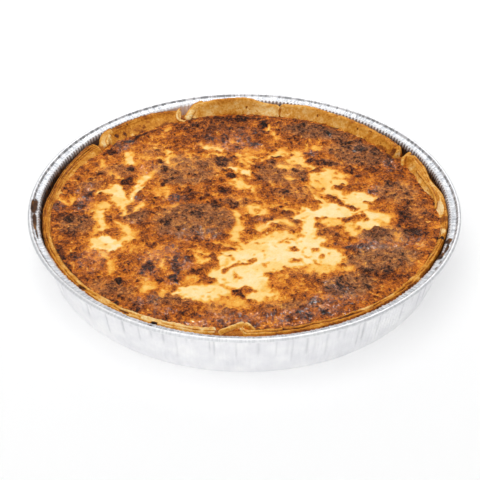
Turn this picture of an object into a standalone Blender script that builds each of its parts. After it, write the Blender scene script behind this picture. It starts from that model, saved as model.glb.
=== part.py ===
"""Salt cod quiche in the foil tin it is baked in: a crimped tin, a folded pastry case, a browned filling.

Metres, +Z up. The origin is the centre of the tin's underside, which stands on the table.
Angles run anticlockwise seen from above, from +X, and +Y is the side of the pie whose crust stands tallest.
"""

import math

import bmesh
import bpy
from mathutils import Vector, geometry, noise

MM = 0.001
CLEARANCE = 0.3 * MM  # left between pieces that touch

# Foil tin
RIM_RADIUS = 130 * MM  # over the rolled edge
RIM_TOP = 33.3 * MM
ROLL_RADIUS = 1.2 * MM
FOIL = 0.5 * MM
BASE_RADIUS = 117 * MM  # flat part of the underside
CORNER_RADIUS = 2.8 * MM  # between the underside and the wall
FLANGE_INNER_RADIUS = 124.4 * MM
FLANGE_INNER_Z = 31.0 * MM
PLEATS = 64  # crimps pressed into the wall and the flange
PLEAT_DEPTH = 0.5 * MM
CORNER_PLEATS = (0, 0.25, 0.5)  # the pleats fade out round the corner: their share at its points
BASE_RING_RADIUS = 88 * MM  # stiffening ring pressed up into the base
BASE_RING_WIDTH = 9 * MM
BASE_RING_RISE = 1.1 * MM

# Pastry case
PASTRY_BASE = 4.2 * MM
PASTRY_CORNER = 6 * MM
PASTRY_UNDERSIDE = FOIL + BASE_RING_RISE + CLEARANCE
PASTRY_FLOOR = PASTRY_UNDERSIDE + PASTRY_BASE
FLOOR_EDGE = BASE_RADIUS - 10 * MM  # flat part of the pastry's floor
CRUST_STEPS = 120  # even steps round the crust, before those that the folds add
LIP_DROP = 1.1 * MM  # how far the rounded edges lie below the crown
EDGE_SECTION = (  # across the crust's top: share of its thickness, and depth below the crown
    (0.0, LIP_DROP),
    (0.22, 0.0),
    (0.5, 0.9 * MM),  # groove between the two layers of pastry
    (0.75, 0.2 * MM),
    (1.0, LIP_DROP),
)
LEAST_STAND = 0.5 * MM  # of the crust's inner edge above the filling, in a fold too
INNER_LEAN = 4.4 * MM  # at the back, the inner face is this much nearer the middle at the filling

# Round the crust: degrees, height of the crown, outer radius at the crown, thickness at the crown (mm)
CRUST_EDGE = (
    (2, 31.0, 122.4, 4.6),
    (10, 31.2, 119.4, 5.4),
    (19, 31.5, 121.4, 5.6),
    (25, 32.0, 121.6, 4.6),
    (31, 31.2, 120.4, 4.8),
    (43, 31.4, 120.8, 4.4),
    (57, 32.0, 121.4, 4.4),
    (69, 32.7, 121.6, 4.2),
    (76, 32.2, 120.8, 4.2),
    (80, 31.2, 120.6, 4.2),
    (91, 35.4, 121.4, 4.0),
    (98, 34.8, 121.4, 4.2),
    (105, 33.0, 121.4, 4.6),
    (113, 31.0, 121.2, 4.6),
    (126, 32.4, 122.2, 4.4),
    (139, 32.2, 122.0, 4.6),
    (149, 31.2, 120.6, 6.4),
    (158, 31.2, 119.6, 5.2),
    (172, 31.0, 119.4, 3.8),
    (186, 30.8, 121.6, 3.8),
    (205, 29.9, 122.6, 4.2),
    (235, 29.6, 122.6, 4.6),
    (258, 30.0, 122.4, 6.0),
    (285, 30.2, 122.5, 6.2),
    (310, 30.0, 122.4, 4.6),
    (330, 30.0, 121.6, 3.4),
    (347, 30.8, 122.6, 3.2),
)

# Folds and tears of the crust: degrees, depth (mm), half width and lean of its top (degrees),
# and how far the pastry curls inwards on its clockwise and anticlockwise sides (mm)
CRUST_FOLDS = (
    (27.3, 7.0, 1.2, 0.2, 1.8, 3.4),
    (77.5, 1.8, 1.1, -0.6, 0.4, 1.8),
    (110.0, 9.0, 2.2, -3.0, 1.2, 2.4),
    (144.0, 8.0, 2.2, -0.4, 1.0, 2.8),
    (245.0, 2.0, 1.2, 0.8, 0.6, 1.2),
    (267.0, 3.8, 2.2, 0.8, 1.0, 4.2),
    (317.0, 1.4, 0.9, 0.5, 0.3, 0.3),
)
CURL_REACH = 2.6  # degrees from a cut to where its curl is greatest
CURL_SPREAD = 2.0
CURL_AT_CROWN = 0.8
CURL_AT_FILLING = 0.6
LEAN_SPREAD = 3.5  # degrees

# Filling
FILLING_LEVEL = 27.6 * MM  # in the middle
FILLING_TILT = 1.2 * MM  # higher at the front, lower at the back
FILLING_EDGE = (  # degrees and height of the filling where it meets the crust (mm)
    (8, 27.4),
    (28, 25.4),
    (60, 25.0),
    (90, 24.8),
    (115, 25.8),
    (142, 26.4),
    (160, 28.4),
    (182, 29.0),
    (210, 28.2),
    (245, 28.2),
    (270, 28.6),
    (310, 28.2),
    (345, 29.0),
)
FILLING_HIGHEST = 30.3 * MM
EDGE_ROUND = 12 * MM  # the top eases down to the crust over this width
MOUNDS = (  # swollen places of the top: x, y, spread and rise (mm)
    (-34, -20, 16, 1.5),
    (78, -52, 16, 1.1),
    (-88, 30, 13, 0.9),
    (44, 84, 16, 1.2),
    (-20, 84, 13, 1.0),
    (-66, -66, 13, 1.0),
    (40, -92, 12, 1.1),
    (96, 14, 12, 1.0),
)
RELIEF = ((23 * MM, 2.2 * MM), (9.5 * MM, 1.8 * MM))  # size and height of the lesser bumps and blisters
TOP_SPACING = 5.7 * MM  # between the points of the filling's top


def clear_scene():
    for obj in list(bpy.data.objects):
        bpy.data.objects.remove(obj, do_unlink=True)


def finish_material(name, colour, roughness, metallic=0.0):
    material = bpy.data.materials.new(name)
    material.use_nodes = True
    shader = material.node_tree.nodes["Principled BSDF"]
    shader.inputs["Base Color"].default_value = (*colour, 1.0)
    shader.inputs["Roughness"].default_value = roughness
    shader.inputs["Metallic"].default_value = metallic
    material.diffuse_color = (*colour, 1.0)
    return material


def between(table, angle, column):
    """Value of a column at an angle in a closed table of (degrees, ...) rows, eased from row to row."""
    angle %= 360
    rows = [(table[-1][0] - 360, *table[-1][1:]), *table, (table[0][0] + 360, *table[0][1:])]
    for before, after in zip(rows, rows[1:]):
        if before[0] <= angle < after[0]:
            share = (angle - before[0]) / (after[0] - before[0])
            share = share * share * (3 - 2 * share)
            return before[column] + (after[column] - before[column]) * share
    return rows[0][column]


def turn_between(angle, other):
    """Degrees from other to angle, from -180 to 180."""
    return (angle - other + 180) % 360 - 180


def bell(distance, spread):
    return math.exp(-((distance / spread) ** 2))


def arc(centre, radius, start, end, steps):
    """Points of a round stretch of a profile, from one angle to another in degrees."""
    points = []
    for step in range(steps + 1):
        turn = math.radians(start + (end - start) * step / steps)
        points.append((centre[0] + radius * math.cos(turn), centre[1] + radius * math.sin(turn)))
    return points


def add_rings(mesh, angles, profile_at):
    """Rings of vertices round the Z axis. profile_at(angle) gives its points (radius, height, turn)."""
    columns = []
    for angle in angles:
        column = []
        for radius, height, turn in profile_at(angle):
            way = math.radians(angle + turn)
            column.append(mesh.verts.new((radius * math.cos(way), radius * math.sin(way), height)))
        columns.append(column)
    return columns


def skin_columns(mesh, columns):
    """Quads between neighbouring columns of vertices, all the way round."""
    for left, right in zip(columns, columns[1:] + columns[:1]):
        for low in range(len(left) - 1):
            mesh.faces.new((left[low], right[low], right[low + 1], left[low + 1]))


def cap_with_fan(mesh, ring, height):
    centre = mesh.verts.new((0, 0, height))
    for first, second in zip(ring, ring[1:] + ring[:1]):
        mesh.faces.new((centre, first, second))


def object_from(mesh, name, material, sharp_degrees):
    bmesh.ops.triangulate(mesh, faces=[face for face in mesh.faces if len(face.verts) > 3])
    bmesh.ops.recalc_face_normals(mesh, faces=mesh.faces)
    data = bpy.data.meshes.new(name)
    mesh.to_mesh(data)
    mesh.free()
    data.materials.append(material)
    data.shade_smooth()
    data.set_sharp_from_angle(angle=math.radians(sharp_degrees))
    obj = bpy.data.objects.new(name, data)
    bpy.context.scene.collection.objects.link(obj)
    return obj


def tin_wall_radius(height):
    """Inner radius of the tin's sloping wall at a height, before its pleats."""
    foot = BASE_RADIUS + CORNER_RADIUS - FOIL
    top = FLANGE_INNER_RADIUS - FOIL
    share = (height - CORNER_RADIUS) / (FLANGE_INNER_Z - CORNER_RADIUS)
    return foot + (top - foot) * min(max(share, 0.0), 1.0)


def base_ring_profile(lift):
    """The pressed ring of the base, from the middle outwards."""
    half = BASE_RING_WIDTH / 2
    return [
        (BASE_RING_RADIUS - half, lift, 0),
        (BASE_RING_RADIUS, lift + BASE_RING_RISE, 0),
        (BASE_RING_RADIUS + half, lift, 0),
    ]


def tin_profile():
    """Profile of the tin from under its middle, round the rolled edge, to its middle inside.

    The third value is the share of the pleats' depth that a point takes.
    """
    corner = (BASE_RADIUS, CORNER_RADIUS)
    outer_corner = arc(corner, CORNER_RADIUS, -90, 0, 2)
    inner_corner = arc(corner, CORNER_RADIUS - FOIL, 0, -90, 2)
    outside = [(r, z, share) for (r, z), share in zip(outer_corner, CORNER_PLEATS)]
    inside = [(r, z, share) for (r, z), share in zip(inner_corner, CORNER_PLEATS[::-1])]
    roll = (RIM_RADIUS - ROLL_RADIUS, RIM_TOP - ROLL_RADIUS)
    rolled_edge = [(r, z, 0) for r, z in arc(roll, ROLL_RADIUS, -125, 145, 5)]
    underside = base_ring_profile(0) + outside
    lip = [
        (FLANGE_INNER_RADIUS, FLANGE_INNER_Z - FOIL, 1),
        *rolled_edge,
        (FLANGE_INNER_RADIUS + 0.4 * MM, FLANGE_INNER_Z + 0.1 * MM, 1),
        (FLANGE_INNER_RADIUS - FOIL, FLANGE_INNER_Z - 0.9 * MM, 1),
    ]
    return underside + lip + inside + base_ring_profile(FOIL)[::-1]


def build_tin(material):
    mesh = bmesh.new()
    profile = tin_profile()

    def pleated(angle):
        side = math.cos(math.radians(angle) * PLEATS)
        return [(radius + PLEAT_DEPTH * side * share, height, 0) for radius, height, share in profile]

    steps = PLEATS * 2
    columns = add_rings(mesh, [360 * step / steps for step in range(steps)], pleated)
    skin_columns(mesh, columns)
    cap_with_fan(mesh, [column[0] for column in columns], 0)
    cap_with_fan(mesh, [column[-1] for column in columns], FOIL)
    return object_from(mesh, "foil_tin", material, 50)


def crust_angles():
    """Even steps round the crust, with more of them at each fold."""
    step = 360 / CRUST_STEPS
    angles = {round(index * step, 3) for index in range(CRUST_STEPS)}
    for fold in CRUST_FOLDS:
        half_width = fold[2]
        angles = {a for a in angles if abs(turn_between(a, fold[0])) > 1.6 * half_width}
        angles |= {round((fold[0] + half_width * share) % 360, 3) for share in (-1.4, -0.8, 0, 0.8, 1.4)}
    return sorted(angles)


def crown(angle):
    """Height of the crust's crown, its outer radius and its thickness there, without the folds."""
    return tuple(between(CRUST_EDGE, angle, column) * MM for column in (1, 2, 3))


def notch_depth(angle):
    deepest = 0.0
    for centre, depth, half_width, *_ in CRUST_FOLDS:
        share = max(0.0, 1 - abs(turn_between(angle, centre)) / (half_width * 1.3))
        deepest = max(deepest, depth * MM * min(1.0, 1.5 * share))
    return deepest


def curl(angle):
    """How far the pastry beside the cuts bends inwards."""
    inwards = 0.0
    for centre, _, _, _, clockwise_side, other_side in CRUST_FOLDS:
        inwards += clockwise_side * MM * bell(turn_between(angle, centre - CURL_REACH), CURL_SPREAD)
        inwards += other_side * MM * bell(turn_between(angle, centre + CURL_REACH), CURL_SPREAD)
    return inwards


def cut_lean(angle):
    """Degrees that the crown is shifted along the crust, so that a cut slants."""
    total = 0.0
    for centre, _, _, lean, *_ in CRUST_FOLDS:
        total += lean * bell(turn_between(angle, centre), LEAN_SPREAD)
    return total


def filling_edge_height(angle):
    return between(FILLING_EDGE, angle, 1) * MM


def crust_inner_face(angle):
    """Radius of the crust's inner face where the filling meets it."""
    _, outer, thickness = crown(angle)
    lean = INNER_LEAN * (0.5 + 0.5 * math.sin(math.radians(angle)))
    return outer - thickness - lean - CURL_AT_FILLING * curl(angle)


def crust_profile(angle):
    """Profile of the pastry case at an angle, from under its floor, over its crown, to the floor inside."""
    height, outer, thickness = crown(angle)
    filling_edge = filling_edge_height(angle)
    top = max(height - notch_depth(angle), filling_edge + LIP_DROP + LEAST_STAND)
    low_height = PASTRY_UNDERSIDE + CORNER_RADIUS
    low_radius = tin_wall_radius(low_height) - PLEAT_DEPTH - CLEARANCE
    half_way = (low_height + top) / 2
    most = tin_wall_radius(half_way) - PLEAT_DEPTH - CLEARANCE
    outer -= CURL_AT_CROWN * curl(angle)
    lean = cut_lean(angle)
    edge = [(outer - share * thickness, top - drop, lean) for share, drop in EDGE_SECTION]
    return [
        (FLOOR_EDGE + 2 * MM, PASTRY_UNDERSIDE, 0),
        (low_radius, low_height, 0),
        (min(most, (low_radius + outer) / 2), half_way, lean / 2),
        *edge,
        (crust_inner_face(angle), filling_edge, 0),
        (FLOOR_EDGE, PASTRY_FLOOR + PASTRY_CORNER / 2, 0),
        (FLOOR_EDGE - PASTRY_CORNER / 2, PASTRY_FLOOR, 0),
    ]


def build_crust(material):
    mesh = bmesh.new()
    columns = add_rings(mesh, crust_angles(), crust_profile)
    skin_columns(mesh, columns)
    cap_with_fan(mesh, [column[0] for column in columns], PASTRY_UNDERSIDE)
    cap_with_fan(mesh, [column[-1] for column in columns], PASTRY_FLOOR)
    return object_from(mesh, "pastry_crust", material, 60)


def filling_side(angle):
    """The filling's side, inside the crust's inner face, from its underside up."""
    return [
        (FLOOR_EDGE - PASTRY_CORNER / 2 - CLEARANCE, PASTRY_FLOOR + CLEARANCE, 0),
        (FLOOR_EDGE - 2 * CLEARANCE, PASTRY_FLOOR + PASTRY_CORNER / 2 + CLEARANCE, 0),
        (crust_inner_face(angle) - 1.5 * CLEARANCE, filling_edge_height(angle), 0),
    ]


def filling_height(x, y):
    """Height of the browned top: mounds and blisters on a slightly tilted disc, eased down to the crust."""
    angle = math.degrees(math.atan2(y, x))
    radius = math.hypot(x, y)
    room = crust_inner_face(angle) - radius
    share = min(max(room / EDGE_ROUND, 0.0), 1.0)
    share = math.sin(share * math.pi / 2)
    level = FILLING_LEVEL - FILLING_TILT * y / crust_inner_face(angle)
    for mound_x, mound_y, spread, rise in MOUNDS:
        level += rise * MM * bell(math.hypot(x - mound_x * MM, y - mound_y * MM), spread * MM)
    for size, rise in RELIEF:
        level += rise * noise.noise(Vector((x / size, y / size, size / MM)))
    edge = filling_edge_height(angle)
    return min(edge + (level - edge) * share, FILLING_HIGHEST)


def top_points(reach):
    """Points of a triangular lattice that lie within reach of the middle."""
    row_height = TOP_SPACING * math.sqrt(3) / 2
    rows = int(reach / row_height) + 1
    points = []
    for row in range(-rows, rows + 1):
        shift = TOP_SPACING / 2 if row % 2 else 0
        for place in range(-rows - 2, rows + 3):
            point = Vector((place * TOP_SPACING + shift, row * row_height))
            angle = math.degrees(math.atan2(point.y, point.x))
            if point.length < crust_inner_face(angle) - 0.75 * TOP_SPACING:
                points.append(point)
    return points


def build_filling(material):
    mesh = bmesh.new()
    columns = add_rings(mesh, crust_angles(), filling_side)
    skin_columns(mesh, columns)
    cap_with_fan(mesh, [column[0] for column in columns], PASTRY_FLOOR + CLEARANCE)
    rim = [column[-1] for column in columns]
    inner = top_points(RIM_RADIUS)
    flat = [vertex.co.xy for vertex in rim] + inner
    edges = [(index, (index + 1) % len(rim)) for index in range(len(rim))]
    _, _, faces, *_ = geometry.delaunay_2d_cdt(flat, edges, [], 1, 1e-6)
    verts = rim + [mesh.verts.new((p.x, p.y, filling_height(p.x, p.y))) for p in inner]
    for face in faces:
        mesh.faces.new([verts[index] for index in face])
    return object_from(mesh, "filling", material, 60)


def main():
    clear_scene()
    build_tin(finish_material("foil", (0.86, 0.87, 0.88), 0.3, metallic=1.0))
    build_crust(finish_material("baked_pastry", (0.62, 0.35, 0.12), 0.65))
    build_filling(finish_material("browned_filling", (0.58, 0.26, 0.07), 0.5))


main()
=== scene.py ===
import math

import bpy
import numpy as np
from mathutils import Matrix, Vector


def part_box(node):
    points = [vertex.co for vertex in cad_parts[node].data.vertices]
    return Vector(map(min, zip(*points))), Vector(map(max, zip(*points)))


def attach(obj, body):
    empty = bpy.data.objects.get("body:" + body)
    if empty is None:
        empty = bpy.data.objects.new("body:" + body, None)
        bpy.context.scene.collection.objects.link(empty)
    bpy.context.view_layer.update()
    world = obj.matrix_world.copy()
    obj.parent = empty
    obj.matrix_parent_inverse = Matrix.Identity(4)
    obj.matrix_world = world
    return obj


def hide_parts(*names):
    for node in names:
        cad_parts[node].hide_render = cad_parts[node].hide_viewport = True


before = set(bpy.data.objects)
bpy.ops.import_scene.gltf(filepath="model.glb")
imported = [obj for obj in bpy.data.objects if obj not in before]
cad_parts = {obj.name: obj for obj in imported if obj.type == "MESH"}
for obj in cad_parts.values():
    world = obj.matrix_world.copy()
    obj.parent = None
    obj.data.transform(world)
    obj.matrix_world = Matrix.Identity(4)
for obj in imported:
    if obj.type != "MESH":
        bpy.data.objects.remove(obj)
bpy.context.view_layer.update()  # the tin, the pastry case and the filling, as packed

mm = 0.001
latticeShift = 0.37  # keeps the origin between two places of the ripples' lattice
layerStep = 7.31  # between two layers of ripples, so that they differ
print("frame loaded:", ", ".join(sorted(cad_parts)))


# Shared shapes

draws = np.random.default_rng(29)
latticeOrder = draws.permutation(256)
latticeSlopes = draws.normal(size=(256, 3))
latticeSlopes /= np.linalg.norm(latticeSlopes, axis=1, keepdims=True)


def ripple(x, y, z, size, layer):
    # Gradient noise, about -1 to 1: a random slope stands on each place of a lattice of this size,
    # and the slopes at the eight corners round a point are blended by 6t^5 - 15t^4 + 10t^3.
    x, y, z = np.broadcast_arrays(x / size, y / size, z / size + layerStep * layer)
    place = np.stack([x, y, z], -1) + latticeShift
    low = np.floor(place).astype(int)
    part = place - low
    ease = part ** 3 * (part * (part * 6 - 15) + 10)
    total = np.zeros(x.shape)
    for corner in np.ndindex(2, 2, 2):
        cell = low + np.array(corner)
        order = latticeOrder[cell[..., 0] % 256]
        order = latticeOrder[(order + cell[..., 1]) % 256]
        order = latticeOrder[(order + cell[..., 2]) % 256]
        pull = (latticeSlopes[order] * (part - np.array(corner))).sum(-1)
        total += pull * np.prod(np.where(corner, ease, 1 - ease), -1)
    return 1.6 * total


def ripples(x, y, z, *layers):
    # Ripples added up, each given by its height, its size and its layer.
    return sum(rise * ripple(x, y, z, size, layer) for rise, size, layer in layers)


def blisters(x, y, size, fullness, seed):
    # Round domes on a jittered lattice, 0 to 1: the square root of 1 minus the squared distance
    # to the nearest dome's middle, over the dome's own radius.
    spots = np.random.default_rng(seed).uniform(0, 1, (64, 64, 3))
    cellX = np.floor(x / size).astype(int)
    cellY = np.floor(y / size).astype(int)
    height = np.zeros(x.shape)
    for stepX in (-1, 0, 1):
        for stepY in (-1, 0, 1):
            spot = spots[(cellX + stepX) % 64, (cellY + stepY) % 64]
            farX = x - (cellX + stepX + spot[..., 0]) * size
            farY = y - (cellY + stepY + spot[..., 1]) * size
            radius = size * fullness * (0.35 + 0.65 * spot[..., 2])
            height = np.maximum(height, np.sqrt(np.clip(1 - (farX ** 2 + farY ** 2) / radius ** 2, 0, 1)))
    return height


def smooth(share):
    # Share held between 0 and 1 and eased at both ends, 3s^2 - 2s^3.
    share = np.clip(share, 0, 1)
    return share * share * (3 - 2 * share)


def bell(distance, spread):
    return np.exp(-((distance / spread) ** 2))


def between(table, degrees, column):
    # A column of a closed table of (degrees, ...) rows, read at many angles and eased from row to row.
    rows = np.array([(table[-1][0] - 360, *table[-1][1:]), *table, (table[0][0] + 360, *table[0][1:])])
    degrees = np.mod(degrees, 360)
    after = np.clip(np.searchsorted(rows[:, 0], degrees, side="right"), 1, len(rows) - 1)
    share = (degrees - rows[after - 1, 0]) / (rows[after, 0] - rows[after - 1, 0])
    return rows[after - 1, column] + (rows[after, column] - rows[after - 1, column]) * smooth(share)


def turnFrom(degrees, other):
    # Degrees from other to each angle, from -180 to 180.
    return np.mod(degrees - other + 180, 360) - 180


def arcPoints(centre, radius, start, end, count):
    # Points of a round stretch of a profile, from one angle to another in degrees.
    turn = np.radians(np.linspace(start, end, count))
    return np.stack([centre[0] + radius * np.cos(turn), centre[1] + radius * np.sin(turn)], -1)


def linePoints(start, end, count, spread=1.0):
    # Points of a straight stretch without its last point; a spread over 1 crowds them at the start.
    share = np.linspace(0, 1, count, endpoint=False)[:, None] ** spread
    return np.array(start) * (1 - share) + np.array(end) * share


def turned(radius, turn, height):
    # Points at these radii and heights, at angles round the Z axis in radians.
    return np.stack(np.broadcast_arrays(radius * np.cos(turn), radius * np.sin(turn), height), -1)


# Shared making

def gridFaces(rows, columns, closedRows=False, closedColumns=False):
    # Quads between the neighbouring points of a grid whose rows follow one another.
    row = np.arange(rows if closedRows else rows - 1)[:, None]
    column = np.arange(columns if closedColumns else columns - 1)[None, :]
    nextRow = (row + 1) % rows * columns
    nextColumn = (column + 1) % columns
    corners = (row * columns + column, nextRow + column, nextRow + nextColumn, row * columns + nextColumn)
    return np.stack(np.broadcast_arrays(*corners), -1).reshape(-1, 4)


def fanFaces(ring, centre):
    # Triangles from a ring of points to one point in its middle.
    ring = np.asarray(ring)
    return np.stack([ring, np.roll(ring, -1), np.full(len(ring), centre)], -1)


def latheFaces(columns, count, start=0):
    # Faces of a turned shape whose profiles have this count of points, with fans from its first and its
    # last ring to the two middle points that come after the profiles.
    rings = start + np.arange(columns) * count
    under = start + columns * count
    return [gridFaces(columns, count, closedRows=True) + start, fanFaces(rings[::-1], under),
            fanFaces(rings + count - 1, under + 1)]


def intoScene(name, data):
    thing = bpy.data.objects.new(name, data)
    bpy.context.scene.collection.objects.link(thing)
    return thing


def makePiece(name, points, faceSets, finish, values):
    # Points and faces into a mesh, turned the right way out by the sign of the volume they enclose.
    points = np.asarray(points, float)
    volume = 0.0
    for faces in faceSets:
        for third in range(2, faces.shape[1]):
            first, second, last = points[faces[:, 0]], points[faces[:, third - 1]], points[faces[:, third]]
            volume += (first * np.cross(second, last)).sum()
    if volume < 0:
        faceSets = [faces[:, ::-1] for faces in faceSets]
    mesh = bpy.data.meshes.new(name)
    mesh.from_pydata(points.tolist(), [], [face for faces in faceSets for face in faces.tolist()])
    mesh.shade_smooth()
    for key, array in values.items():
        field = mesh.attributes.new(key, "FLOAT", "POINT")
        field.data.foreach_set("value", np.asarray(array, np.float32).ravel())
    mesh.materials.append(finish)
    piece = intoScene(name, mesh)
    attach(piece, "root")
    print(name, "made:", len(mesh.polygons), "faces")
    return piece


def fromHex(code):
    # A screen colour such as "D29A45" as the linear values that a shader takes.
    shares = [int(code[n:n + 2], 16) / 255 for n in (0, 2, 4)]
    linear = [s / 12.92 if s <= 0.04045 else ((s + 0.055) / 1.055) ** 2.4 for s in shares]
    return (*linear, 1.0)


class Finish:
    # A material and short ways to add the nodes that it is mixed from.
    def __init__(self, name):
        self.material = bpy.data.materials.new(name)
        self.material.use_nodes = True
        self.tree = self.material.node_tree
        self.shader = self.tree.nodes["Principled BSDF"]
        self.place = self.tree.nodes.new("ShaderNodeTexCoord").outputs["Object"]

    def feed(self, socket, value):
        if isinstance(value, bpy.types.NodeSocket):
            self.tree.links.new(value, socket)
        else:
            socket.default_value = value

    def put(self, name, value):
        # A value, or the output of a node, for an input of the shader.
        self.feed(self.shader.inputs[name], value)

    def field(self, name):
        node = self.tree.nodes.new("ShaderNodeAttribute")
        node.attribute_name = name
        return node.outputs["Fac"]

    def roundPlace(self, reach, share):
        # Coordinates that run at full length round a ring of this reach, and at this share of it
        # outward and up, so that noise makes radial and upright streaks.
        apart = self.tree.nodes.new("ShaderNodeSeparateXYZ")
        self.feed(apart.inputs["Vector"], self.place)
        east, north, up = apart.outputs
        squares = self.addTo(self.times(north, north), east, east)
        radius = self.math("MAXIMUM", self.math("SQRT", squares), 0.001)
        together = self.tree.nodes.new("ShaderNodeCombineXYZ")
        for socket, side in zip(together.inputs, (east, north)):
            self.feed(socket, self.times(self.math("DIVIDE", side, radius), reach))
        self.feed(together.inputs["Z"], self.times(self.math("ADD", radius, up), share))
        return together.outputs["Vector"]

    def noise(self, size, detail=3.0, roughness=0.55, place=None, swirl=0.0):
        # Noise whose lumps are this many metres across, bent into wrinkles by a swirl.
        node = self.tree.nodes.new("ShaderNodeTexNoise")
        node.inputs["Scale"].default_value = 1 / size
        node.inputs["Detail"].default_value = detail
        node.inputs["Roughness"].default_value = roughness
        node.inputs["Distortion"].default_value = swirl
        self.feed(node.inputs["Vector"], place or self.place)
        return node.outputs["Fac"]

    def math(self, operation, first, second=0.0, third=0.0):
        node = self.tree.nodes.new("ShaderNodeMath")
        node.operation = operation
        for socket, value in zip(node.inputs, (first, second, third)):
            self.feed(socket, value)
        return node.outputs["Value"]

    def times(self, first, second):
        return self.math("MULTIPLY", first, second)

    def addTo(self, level, amount, share):
        # The level with this share of an amount added.
        return self.math("MULTIPLY_ADD", amount, share, level)

    def stretchTo(self, value, low, high, newLow=0.0, newHigh=1.0):
        node = self.tree.nodes.new("ShaderNodeMapRange")
        for key, given in zip(("Value", "From Min", "From Max", "To Min", "To Max"),
                              (value, low, high, newLow, newHigh)):
            self.feed(node.inputs[key], given)
        return node.outputs["Result"]

    def cloud(self, low, high, size, detail=3.0, roughness=0.55, swirl=0.0):
        # Noise whose usual range, 0.3 to 0.7, is stretched to run from low to high.
        return self.stretchTo(self.noise(size, detail, roughness, swirl=swirl), 0.3, 0.7, low, high)

    def ramp(self, value, stops):
        node = self.tree.nodes.new("ShaderNodeValToRGB")
        band = node.color_ramp
        while len(band.elements) < len(stops):
            band.elements.new(0.5)
        for element, (place, code) in zip(band.elements, stops):
            element.position = place
            element.color = fromHex(code)
        self.feed(node.inputs["Fac"], value)
        return node.outputs["Color"]

    def mix(self, share, first, second):
        node = self.tree.nodes.new("ShaderNodeMix")
        node.data_type = "RGBA"
        self.feed(node.inputs["Factor"], share)
        self.feed(node.inputs["A"], first)
        self.feed(node.inputs["B"], second)
        return node.outputs["Result"]

    def bump(self, height, distance, strength=1.0, under=None):
        node = self.tree.nodes.new("ShaderNodeBump")
        node.inputs["Strength"].default_value = strength
        self.feed(node.inputs["Distance"], distance)
        self.feed(node.inputs["Height"], height)
        if under is not None:
            self.feed(node.inputs["Normal"], under)
        return node.outputs["Normal"]


# Foil tin

tinBox = np.array(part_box("foil_tin")) / mm
tin = {
    "rimRadius": tinBox[1][0],
    "rimTop": tinBox[1][2],
    "rollRadius": 1.2,
    "foil": 0.5,
    "baseRadius": 117.0,
    "cornerRadius": 2.8,
    "flangeRadius": 124.4,  # where the flange meets the wall
    "flangeHeight": 31.0,
    "innerStep": 0.9,  # from the flange down to the top of the wall's inner face
    "ringRadius": 88.0,  # pressed ring of the base
    "ringWidth": 9.0,
    "ringRise": 1.1,
    "columns": 1500,
    "crimps": 300,
    "crimpDepth": 0.95,
    "lipRadius": (124.6, 127.0),  # of the flat part of the flange, which takes painted shade
    "grooveAt": (0.35, 1.6),  # of the groove beside the rolled edge: inward of it, below its top
    "grooveRadius": 127.5,  # of the painted shadow line in the groove
    "grooveWidth": 0.55,
    "combDepth": 0.24,  # of the crimps where they run on over the flange
    "combStart": (123.6, 0.8),  # radius, and width over which they rise
    "combEnd": (127.2, 2.2),
    "creases": 130,  # long dents in the wall
    "creaseDepth": 0.62,
    "dents": 0.28,
    "dentSizes": (21, 7),
    "crimpPatches": (130, 14),  # radius and size of the pattern that makes crimps deeper or shallower
    "edgeWave": (0.18, 26),  # height and size of the rolled edge's unevenness
    "edgeStart": 126.0,  # radius where that begins
    "stainRise": 0.12,
    "stainAndShadeHeights": (4.0, 30.6),  # of the burnt stains and painted shade down the wall
    "stainAndShadeBelow": (29.4, 1.4),  # where they cover the ridges too, and over what height that starts
}
tinStains = (  # baked-on drips: degrees; radius, half length round the rim, half width (mm); strength
    (184, 126.7, 8, 1.9, 1), (190.5, 126.2, 9, 1.1, 1), (196.2, 125.9, 6.5, 0.5, 1),
    (340, 125.2, 3.2, 1.6, 1), (336.4, 125.6, 4.4, 1.1, 1), (332.9, 124.8, 4, 1.2, 1),
    (330, 126.4, 2, 0.5, 0.8), (327.2, 126.6, 1.6, 0.5, 0.8), (247, 126.3, 1.2, 0.5, 0.9),
)
wallStainsAndShade = (  # burnt stains and painted shade down the wall's inside, in the gap beside the crust: degrees, half width, strength, share that the ridges keep
    (181, 22, 1, 0.6), (150, 26, 0.95, 0.2), (352, 26, 1, 0.3), (22, 20, 1, 0.15), (66, 34, 0.85, 0),
)


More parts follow.
